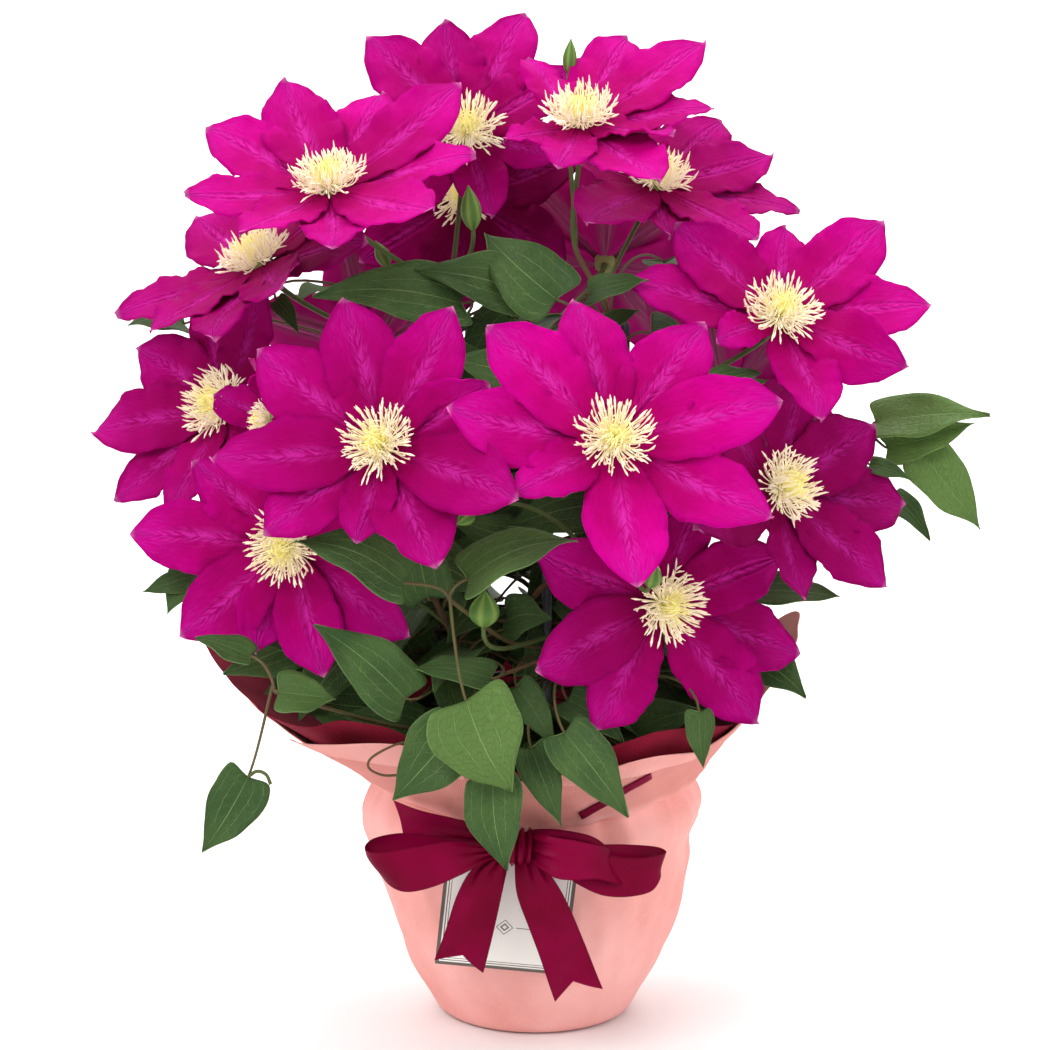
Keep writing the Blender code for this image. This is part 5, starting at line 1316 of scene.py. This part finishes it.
class CLEMATIS_OT_blooms(bpy.types.Operator):
    """Build the petals and the stamen crowns"""

    bl_idname = "clematis.blooms"
    bl_label = "Blooms"

    def execute(self, context):
        sizes = context.scene.clematis_sizes
        face, back = petal_face_finish(sizes), petal_back_finish(sizes)
        anther = stamen_finish("anther_cream", sizes.anther_outer, sizes.anther_inner, 0.7)
        filament = stamen_finish("filament_cream", sizes.filament, sizes.anther_inner, 0.5)
        hub = plain_finish("hub_green", (0.20, 0.24, 0.06), (0.30, 0.30, 0.10), 300.0, 0.6, 0.0003)
        crown = stamen_tree()
        for bloom in BLOOMS:
            name = bloom[0]
            right, up, facing = bloom_frame(bloom[2], bloom[3])
            centre = np.asarray(bloom[1], dtype=float)
            piece = Piece()
            draw = np.random.default_rng(int(name))
            shade = BLOOM_SHADES.get(name, 0.5)
            for index in range(len(bloom[6])):
                points, uv = petal_points(bloom, index, sizes.petal_ruffle / MM)
                # Painted shade of this petal: its bloom's shade and a little at random
                tint = min(1.0, shade + draw.uniform(0.0, 0.28))
                piece.blade(points, uv, sizes.petal_thickness / MM, (0, 1), tint)
            piece.rod([centre + facing * h for h in (HUB_BACK, HUB_BACK + 0.8, HUB_FRONT)],
                      [2.2, 6.0, 5.4], 20, 2)
            petals = piece.finish("petals_" + name, [face, back, hub])
            rest_on_body(petals, ["bloom_" + name])
            base = centre + facing * (HUB_FRONT + CLEARANCE)
            matrix = Matrix([[*row, shift] for row, shift in zip(
                np.stack([right, up, facing], axis=1).tolist(), (base * MM).tolist())]
                + [[0, 0, 0, 1]])
            small = 0.55 if name == "14" else 1.0
            stamens = crown.run("crown_" + name, {
                "Count": int(sizes.stamen_count * (0.6 if name == "14" else 1.0)),
                "Length": sizes.stamen_length * small, "Foot radius": 0.0052 * small,
                "Spread": 1.36 - bloom[4], "Seed": int(name), "Filament finish": filament,
                "Anther finish": anther}, matrix)
            for polygon in stamens.data.polygons:
                polygon.use_smooth = True
            rest_on_body(stamens, ["stamens_" + name])
        return {"FINISHED"}


class CLEMATIS_OT_foliage(bpy.types.Operator):
    """Build the stems, stalks, leaves and buds"""

    bl_idname = "clematis.foliage"
    bl_label = "Foliage"

    def execute(self, context):
        sizes = context.scene.clematis_sizes
        face, back = leaf_face_finish(sizes), leaf_back_finish(sizes)
        stem = stem_finish("stem_green", sizes.stem_young, sizes.stem_old)
        bud = stem_finish("bud_green", sizes.bud_colour, sizes.bud_light, 140.0, 6.0)
        blooms = {bloom[0]: bloom for bloom in BLOOMS}
        taken = [petal_points(bloom, index, 1.0, 7, 5)[0].reshape(-1, 3)
                 for bloom in BLOOMS for index in range(len(bloom[6]))]
        taken += [leaf_points(*leaf[2:], order, 5, 3)[0].reshape(-1, 3)
                  for order, leaf in enumerate(LEAVES + SMALL_LEAVES)]
        extra = inner_leaves(np.concatenate(taken), sizes.inner_leaf_count, 8)
        for number, vine in enumerate(VINES):
            name = vine[0]
            path = vine_path(vine)
            stems, leaves = Piece(), Piece()
            self.stem(stems, path, number, blooms)
            for order, (owner, height, *leaf) in enumerate(LEAVES):
                if owner == number:
                    start = height if hasattr(height, "__len__") else path[
                        stem_point(path, height)]
                    bright = YOUNG_LEAVES.get(order, 0.05 + 0.04 * ((order * 37) % 10))
                    self.leaf(stems, leaves, start, leaf, order, bright, sizes)
            for order, (owner, height, *leaf) in enumerate(SMALL_LEAVES):
                if owner == number:
                    self.leaf(stems, leaves, path[stem_point(path, height)], leaf, order + 60,
                              0.05, sizes, 16, 11)
            for order, (owner, start, *leaf) in enumerate(extra):
                if owner == number:
                    self.leaf(stems, leaves, start, leaf, order + 100, 0.03 * (order % 8),
                              sizes, 13, 9)
            self.buds(stems, path, number)
            rest_on_body(stems.finish("stems_" + name[5:], [stem, bud]), [name])
            rest_on_body(leaves.finish("leaves_" + name[5:], [face, back]), [name])
        return {"FINISHED"}

    def stem(self, stems, path, number, blooms):
        """Add a main stem, its flower stalks and its side stalks."""
        count = len(path)
        marks = np.linspace(0, 1, count)
        radii = STEM_RADIUS * (1.0 - 0.35 * marks) * (1 + 0.18 * np.sin(marks * 60) ** 8)
        stems.rod(path, radii, 10, 0, 0.8)
        for name, owner, height, pull, *via in PEDICELS:
            if owner != number:
                continue
            facing = bloom_frame(blooms[name][2], blooms[name][3])[2]
            end = np.asarray(blooms[name][1], dtype=float) + facing * HUB_BACK
            i = stem_point(path, height)
            rise = unit(path[min(i + 1, count - 1)] - path[i - 1])
            curve = bezier(path[i], path[i] + rise * pull * 0.7, end - facing * pull, end, 24)
            if via:
                curve = smooth_path([path[i]] + list(via[0]) + [end - facing * pull, end], 6)
            swell = 1.0 + 0.35 * np.linspace(0, 1, len(curve)) ** 6
            stems.rod(curve, PEDICEL_RADIUS * swell, 8, 0, 0.35)
        for owner, radius, tint, points in LOOSE_STALKS:
            if owner == number:
                stems.rod(smooth_path([np.asarray(p, dtype=float) for p in points], 6), radius,
                          7, 0, tint)
        for owner, height, points in SIDE_STALKS:
            if owner == number:
                start = path[stem_point(path, height)]
                stems.rod(smooth_path([start] + list(points), 8), PETIOLE_RADIUS * 1.15, 8, 0, 0.6)

    def leaf(self, stems, leaves, start, leaf, seed, bright, sizes, rows=22, columns=13):
        """Add one leaf and its stalk."""
        base, tip = (np.asarray(p, dtype=float) for p in leaf[:2])
        points, uv = leaf_points(*leaf, seed, rows, columns)
        leaves.blade(points, uv, sizes.leaf_thickness / MM, (0, 1), bright)
        start = np.asarray(start, dtype=float)
        foot, end = points[0, columns // 2], points[1, columns // 2]
        along = unit(tip - base)
        span = np.linalg.norm(foot - start)
        curve = bezier(start, start + np.array((0, 0, 0.3 * span)),
                       foot - along * span * 0.28 + np.array((0, 0, 0.1 * span)), foot, 16)
        radii = np.linspace(1.0, 0.7, len(curve) + 1) * PETIOLE_RADIUS
        radii[-1] = 0.25
        stems.rod(curve + [end], radii, 7, 0, 0.6)

    def buds(self, stems, path, number):
        """Add the closed buds and their stalks."""
        for owner, height, foot, tip, radius in BUDS:
            if owner != number:
                continue
            foot, tip = np.asarray(foot, dtype=float), np.asarray(tip, dtype=float)
            shares = np.linspace(0, 1, 18)
            swell = np.sin(shares ** 0.85 * math.pi) ** 0.9 * (1 - 0.12 * shares)
            stems.rod([foot + (tip - foot) * s for s in shares],
                      np.maximum(radius * swell * 1.05, 0.3), 24, 1, 0.2)
            along = unit(tip - foot)
            i = stem_point(path, height)
            span = np.linalg.norm(foot - path[i])
            stems.rod(bezier(path[i], path[i] + np.array((0, 0, 0.3 * span)),
                             foot - along * span * 0.35, foot + along * 0.8, 16),
                      PEDICEL_RADIUS * 0.9, 8, 0, 0.3)


class CLEMATIS_OT_trellis(bpy.types.Operator):
    """Build the poles with their clips and the ring arcs"""

    bl_idname = "clematis.trellis"
    bl_label = "Trellis"

    def execute(self, context):
        sizes = context.scene.clematis_sizes
        coat = plain_finish("trellis_coat", sizes.trellis_colour,
                            tuple(c * 1.8 for c in sizes.trellis_colour), 120.0, 0.42, 0.0001)
        for name, x, y in POLES:
            piece = Piece()
            profile = [(0, 0), (POLE_RADIUS, 0)]
            for _, height in RING_HEIGHTS:
                low = height - POLE_BOTTOM
                profile += [(POLE_RADIUS, low - 4.6), (CLIP_RADIUS - 0.5, low - 4.3),
                            (CLIP_RADIUS, low - 3.6), (CLIP_RADIUS, low + 3.6),
                            (CLIP_RADIUS - 0.5, low + 4.3), (POLE_RADIUS, low + 4.6)]
            top = POLE_TOP - POLE_BOTTOM
            profile += [(POLE_RADIUS, top), (POLE_RADIUS * 0.92, top + 1.2),
                        (POLE_RADIUS * 0.6, top + 2.4), (0, top + 3.0)]
            piece.turned(profile, 24, centre=(x, y, POLE_BOTTOM))
            rest_on_body(piece.finish("coated_" + name, [coat], 40), [name])
        spots = sorted(POLES, key=lambda row: math.atan2(row[2], row[1]))
        for level, height in RING_HEIGHTS:
            for i, (name, x, y) in enumerate(spots):
                _, nx, ny = spots[(i + 1) % 3]
                start, end = math.atan2(y, x), math.atan2(ny, nx)
                if end < start:
                    end += 2 * math.pi
                first, last = math.hypot(x, y), math.hypot(nx, ny)
                gap = math.asin(CLIP_RADIUS * 0.6 / 46.0)
                path = []
                for k in range(31):
                    share = k / 30
                    angle = start + gap + (end - start - 2 * gap) * share
                    radius = first + (last - first) * share + 2.0 * math.sin(math.pi * share)
                    path.append((radius * math.cos(angle), radius * math.sin(angle), height))
                piece = Piece()
                piece.rod(path, RING_RADIUS, 14)
                arc = "%s_%s" % (level, "abc"[i])
                rest_on_body(piece.finish("coated_ring_" + arc, [coat], 60), ["ring_" + arc])
        return {"FINISHED"}


class CLEMATIS_OT_pot(bpy.types.Operator):
    """Build the pot and dress the soil"""

    bl_idname = "clematis.pot"
    bl_label = "Pot and soil"

    def execute(self, context):
        plastic = plain_finish("pot_plastic", (0.030, 0.022, 0.018), (0.045, 0.034, 0.028), 40.0,
                               0.5, 0.0002)
        base = 2 * (SHEET_THICKNESS + CLEARANCE) + 0.15
        rim = 8.0
        wall = POT_TOP_RADIUS - POT_WALL
        low = POT_TOP_RADIUS - 1.6 - (POT_TOP_RADIUS - POT_BASE_RADIUS) / (POT_TOP - base) * rim
        piece = Piece()
        piece.turned(((0, base), (POT_BASE_RADIUS - 1.0, base), (POT_BASE_RADIUS, base + 1.0),
                      (low, POT_TOP - rim), (POT_TOP_RADIUS - 0.5, POT_TOP - rim + 0.3),
                      (POT_TOP_RADIUS, POT_TOP - rim + 0.9), (POT_TOP_RADIUS, POT_TOP - 0.8),
                      (POT_TOP_RADIUS - 0.8, POT_TOP), (wall + 0.5, POT_TOP),
                      (wall, POT_TOP - 0.6), (POT_BASE_RADIUS - POT_WALL, base + POT_WALL),
                      (0, base + POT_WALL)), 96)
        rest_on_body(piece.finish("pot_plastic", [plastic], 35), ["pot"])
        earth = plain_finish("soil_peat", (0.016, 0.010, 0.006), (0.050, 0.032, 0.020), 260.0,
                             0.92, 0.0015)
        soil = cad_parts["soil"]
        for slot in soil.material_slots:
            slot.material = earth
        crumbs = crumb_tree().run("soil_crumbs", {
            "Count": 460, "Reach": 0.0565, "Level": 0.1002, "Size": 0.0022, "Finish": earth})
        rest_on_body(crumbs, ())
        return {"FINISHED"}


class CLEMATIS_OT_wrap(bpy.types.Operator):
    """Build the outer sheet, the lining and the folds laid on the collar"""

    bl_idname = "clematis.wrap"
    bl_label = "Wrap"

    def execute(self, context):
        sizes = context.scene.clematis_sizes
        # The last colour is the painted lilac-grey shade of a patch on the front right of the collar
        outer = fabric_finish("wrap_salmon", sizes.wrap_colour, sizes.wrap_shade,
                              sizes.wrap_fibre, sizes.wrap_collar_shade, (0.60, 0.40, 0.44))
        # The lining takes its shade colour where it flares, as painted shade
        inner = fabric_finish("wrap_burgundy", sizes.lining_colour, sizes.lining_shade,
                              (0.46, 0.03, 0.08), sizes.lining_shade)
        angle = np.linspace(-180.0, 180.0, 433)[None, :]
        outer_top, lining_top, lift = around(angle, COLLAR_TOPS)
        outer_top = outer_top + 0.012 * pleats(angle, 9, 40, 1.5, 4.0)
        lining_top = lining_top + 0.015 * pleats(angle, 10, 40, 1.5, 4.0) - 0.01
        body = np.concatenate([np.linspace(0.0, 0.06, 5), np.linspace(0.08, 0.88, 34),
                               np.linspace(0.90, 1.0, 11)])[:, None]
        climb = np.linspace(0.03, 1.0, 32)[:, None]
        rise = np.concatenate([body + 0 * angle, 1.0 + climb * outer_top])
        self.ring("wrap_sheet", angle, rise, wrap_points(angle, rise), 0.5, outer, True)
        rest_on_body(bpy.data.objects["wrap_sheet"], ["wrap_outer"])
        climb = np.linspace(0.0, 1.0, 38)[:, None]
        rise = 0.93 + climb * (0.07 + lining_top)
        points = wrap_points(angle, rise, 1.5)
        points[..., 2] += lift * climb ** 2
        self.ring("lining_sheet", angle, rise, points, 0.4, inner, False)
        rest_on_body(bpy.data.objects["lining_sheet"], ["wrap_lining"])
        trim = self.slit_trim(satin_finish(sizes))
        for name, table, flat, area, trims in (
                ("wrap_fold_left", LEFT_FOLD, (0.080, 0.0180), 0.00097, ()),
                ("wrap_fold_right", RIGHT_FOLD, (0.068, 0.0112), 0.00059, (trim,))):
            self.fold(name, table, outer, flat, area, trims)
        return {"FINISHED"}

    def slit_trim(self, finish):
        """Lay the narrow satin edging that climbs the collar below the right fold."""
        piece = Piece()
        shares = np.linspace(0.0, 1.0, 24)[:, None]
        across = np.linspace(-1.0, 1.0, 5)[None, :]
        bearing = -76.0 + 19.0 * shares + across * 0.75
        climb = 1.26 + 0.44 * shares - across * 0.062
        uv = np.stack(np.broadcast_arrays(across * 0.5 + 0.5, shares * 0.4), axis=-1)
        piece.blade(wrap_points(bearing, climb, -0.9), uv, 0.4, (0, 0))
        return rest_on_body(piece.finish("slit_trim", [finish]), ())

    def fold(self, name, table, finish, flat, area, trims):
        """Lay a turned-down corner of the sheet on the outside of the collar."""
        bearings, feet, tops = zip(*table)
        angle = np.linspace(bearings[0], bearings[-1], 60)[None, :]
        foot, top = (smooth_curve(angle, bearings, column) for column in (feet, tops))
        climb = np.linspace(0.0, 1.0, 14)[:, None]
        rise = 1.0 + foot + climb * (top - foot)
        points = wrap_points(angle, rise, -1.0 - 0.5 * climb)
        piece = Piece()
        uv = np.stack(np.broadcast_arrays(angle / 360.0 * 0.55, 0.132 + (rise - 1.0) * 0.009), -1)
        piece.blade(points[:, ::-1], uv[:, ::-1], 0.5, (0, 0))
        item = rest_on_body(piece.finish(name, [finish]), ())

    def ring(self, name, angle, rise, points, thickness, finish, bottom):
        """Close a ring of cloth, with a floor where it passes under the pot."""
        rows, columns = points.shape[:2]
        along, across = np.gradient(points, axis=0), np.gradient(points, axis=1)
        normal = np.cross(across, along)
        normal /= np.linalg.norm(normal, axis=2, keepdims=True)
        inside = points - normal * thickness
        if bottom:
            inside[0, :, 2] = thickness
        size = rows * (columns - 1)
        both = np.concatenate([points[:, :-1].reshape(-1, 3), inside[:, :-1].reshape(-1, 3)])
        slant = 0.13 * np.minimum(rise, 1.0) + 0.085 * np.maximum(rise - 1.0, 0.0)
        grid = np.stack(np.broadcast_arrays(angle / 360.0 * 0.55, slant), axis=-1)
        uv = np.concatenate([grid[:, :-1].reshape(-1, 2)] * 2)
        faces = []
        ring = columns - 1
        for i in range(rows - 1):
            for j in range(ring):
                n = (j + 1) % ring
                quad = (i * ring + j, i * ring + n, (i + 1) * ring + n, (i + 1) * ring + j)
                faces += [quad, tuple(k + size for k in reversed(quad))]
        for j in range(ring):
            n = (j + 1) % ring
            a, b = (rows - 1) * ring + j, (rows - 1) * ring + n
            faces.append((a, b, b + size, a + size))
            if not bottom:
                faces.append((n, j, j + size, n + size))
        if bottom:
            both = np.concatenate([both, [[0, 0, 0], [0, 0, thickness]]])
            uv = np.concatenate([uv, [[0.0, 0], [0.0, 0]]])
            for j in range(ring):
                n = (j + 1) % ring
                faces += [(2 * size, n, j), (2 * size + 1, j + size, n + size)]
        piece = Piece()
        piece.add(both, uv, 0.5, faces, 0)
        piece.finish(name, [finish], 60)


class CLEMATIS_OT_bow(bpy.types.Operator):
    """Tie the satin bow and set the card behind it"""

    bl_idname = "clematis.bow"
    bl_label = "Bow and card"

    def execute(self, context):
        sizes = context.scene.clematis_sizes
        satin = satin_finish(sizes)
        piece = Piece()
        total = 0.0
        for order, (pinch, notch, rows) in enumerate(BOW_STRIPS):
            rows = np.asarray(rows, dtype=float) + np.tile(BOW_SEAT, 2)
            total += make_ribbon(piece, rows, 0.4, order + 3, pinch, notch)
        bow = piece.finish("bow_satin", [satin], 50)
        rest_on_body(bow, ["ribbon_bow"])
        self.card(sizes)
        return {"FINISHED"}

    def card(self, sizes):
        """Set the bordered card against the wrap."""
        lean, turn = math.radians(CARD_LEAN), math.radians(CARD_TURN)
        centre = np.asarray(CARD_CENTRE, dtype=float)
        rows, columns = 9, 9
        points = np.zeros((rows, columns, 3))
        for i, pz in enumerate(np.linspace(-0.5, 0.5, rows) * CARD_HEIGHT):
            for j, px in enumerate(np.linspace(-0.5, 0.5, columns) * CARD_WIDTH):
                x = px * math.cos(turn) + pz * math.sin(turn)
                z = -px * math.sin(turn) + pz * math.cos(turn)
                points[i, j] = centre + np.array([x, -z * math.sin(lean), z * math.cos(lean)])
        grid = np.stack(np.meshgrid(np.linspace(0, 1, columns), np.linspace(0, 1, rows)), axis=-1)
        piece = Piece()
        piece.blade(points[:, ::-1], grid[:, ::-1], CARD_THICKNESS, (0, 1))
        plain = plain_finish("card_back", tuple(sizes.card_colour), (0.80, 0.74, 0.62), 300.0, 0.7,
                             0.0001)
        card = piece.finish("card_board", [card_finish(sizes), plain], 30)
        rest_on_body(card, ["card"])


class CLEMATIS_OT_stage(bpy.types.Operator):
    """Set the pale floor, the soft light and the camera"""

    bl_idname = "clematis.stage"
    bl_label = "Stage"

    def execute(self, context):
        scene = context.scene
        scene.view_settings.view_transform = "Standard"
        profile = [(-5.0, 0.0), (1.2, 0.0)]
        profile += [(1.2 + 2.0 * math.sin(a), 2.0 - 2.0 * math.cos(a))
                    for a in np.linspace(0.1, math.pi / 2, 20)]
        profile.append((3.2, 6.0))
        mesh = bpy.data.meshes.new("backdrop")
        wide = 6.0
        mesh.from_pydata([(x, y, z - 0.0004) for y, z in profile for x in (-wide, wide)], [],
                         [(2 * i, 2 * i + 1, 2 * i + 3, 2 * i + 2)
                          for i in range(len(profile) - 1)])
        mesh.polygons.foreach_set("use_smooth", [True] * len(mesh.polygons))
        floor = bpy.data.objects.new("backdrop", mesh)
        scene.collection.objects.link(floor)
        mesh.materials.append(plain_finish("backdrop_pale", (0.90, 0.90, 0.90),
                                           (0.88, 0.88, 0.88), 2.0, 0.8, 0.0001))
        world = bpy.data.worlds.new("studio")
        world.use_nodes = True
        world.node_tree.nodes["Background"].inputs[0].default_value = (1.0, 1.0, 1.0, 1.0)
        world.node_tree.nodes["Background"].inputs[1].default_value = 0.74
        scene.world = world
        plant = (0.0, 0.0, 0.25)
        for name, place, aim, power, size in (
                ("key", (-0.9, -1.3, 1.5), plant, 20.0, 0.9),
                ("fill", (1.3, -1.1, 0.9), plant, 7.0, 1.4),
                ("top", (0.1, 0.3, 1.9), plant, 12.0, 1.2),
                ("backdrop_wash", (0.0, 1.2, 2.6), (0.0, 3.1, 1.1), 95.0, 2.6)):
            light = bpy.data.lights.new(name, "AREA")
            light.energy, light.size = power, size
            lamp = bpy.data.objects.new(name, light)
            lamp.location = place
            heading = Vector(aim) - Vector(place)
            lamp.rotation_euler = heading.to_track_quat("-Z", "Y").to_euler()
            scene.collection.objects.link(lamp)
        view = bpy.data.cameras.new("camera")
        view.lens = 99.05
        view.sensor_width = 36.0
        camera = bpy.data.objects.new("camera", view)
        target = Vector((-0.0045, 0.0, 0.224))
        height = math.radians(9.0)
        camera.location = target + Vector((0.0, -math.cos(height), math.sin(height))) * 1.3
        camera.rotation_euler = (math.radians(90.0) - height, 0.0, 0.0)
        scene.collection.objects.link(camera)
        scene.camera = camera
        return {"FINISHED"}


class CLEMATIS_PT_panel(bpy.types.Panel):
    """Lists the steps and the sizes"""

    bl_idname = "CLEMATIS_PT_panel"
    bl_label = "Clematis"
    bl_space_type = "VIEW_3D"
    bl_region_type = "UI"
    bl_category = "Clematis"

    def draw(self, context):
        column = self.layout.column()
        for step in STEPS:
            column.operator(step.bl_idname)
        for name in ClematisSizes.__annotations__:
            column.prop(context.scene.clematis_sizes, name)


STEPS = (CLEMATIS_OT_stage, CLEMATIS_OT_pot, CLEMATIS_OT_wrap, CLEMATIS_OT_trellis,
         CLEMATIS_OT_foliage, CLEMATIS_OT_blooms, CLEMATIS_OT_bow)
CLASSES = (ClematisSizes, *STEPS, CLEMATIS_PT_panel)


def register():
    """Register the classes and the sizes."""
    for entry in CLASSES:
        bpy.utils.register_class(entry)
    bpy.types.Scene.clematis_sizes = PointerProperty(type=ClematisSizes)


def unregister():
    """Take the classes and the sizes away."""
    del bpy.types.Scene.clematis_sizes
    for entry in reversed(CLASSES):
        bpy.utils.unregister_class(entry)


def main():
    """Build every piece."""
    register()
    bpy.ops.clematis.stage()
    bpy.ops.clematis.pot()
    bpy.ops.clematis.wrap()
    bpy.ops.clematis.trellis()
    bpy.ops.clematis.foliage()
    bpy.ops.clematis.blooms()
    bpy.ops.clematis.bow()


if __name__ == "__main__":
    main()
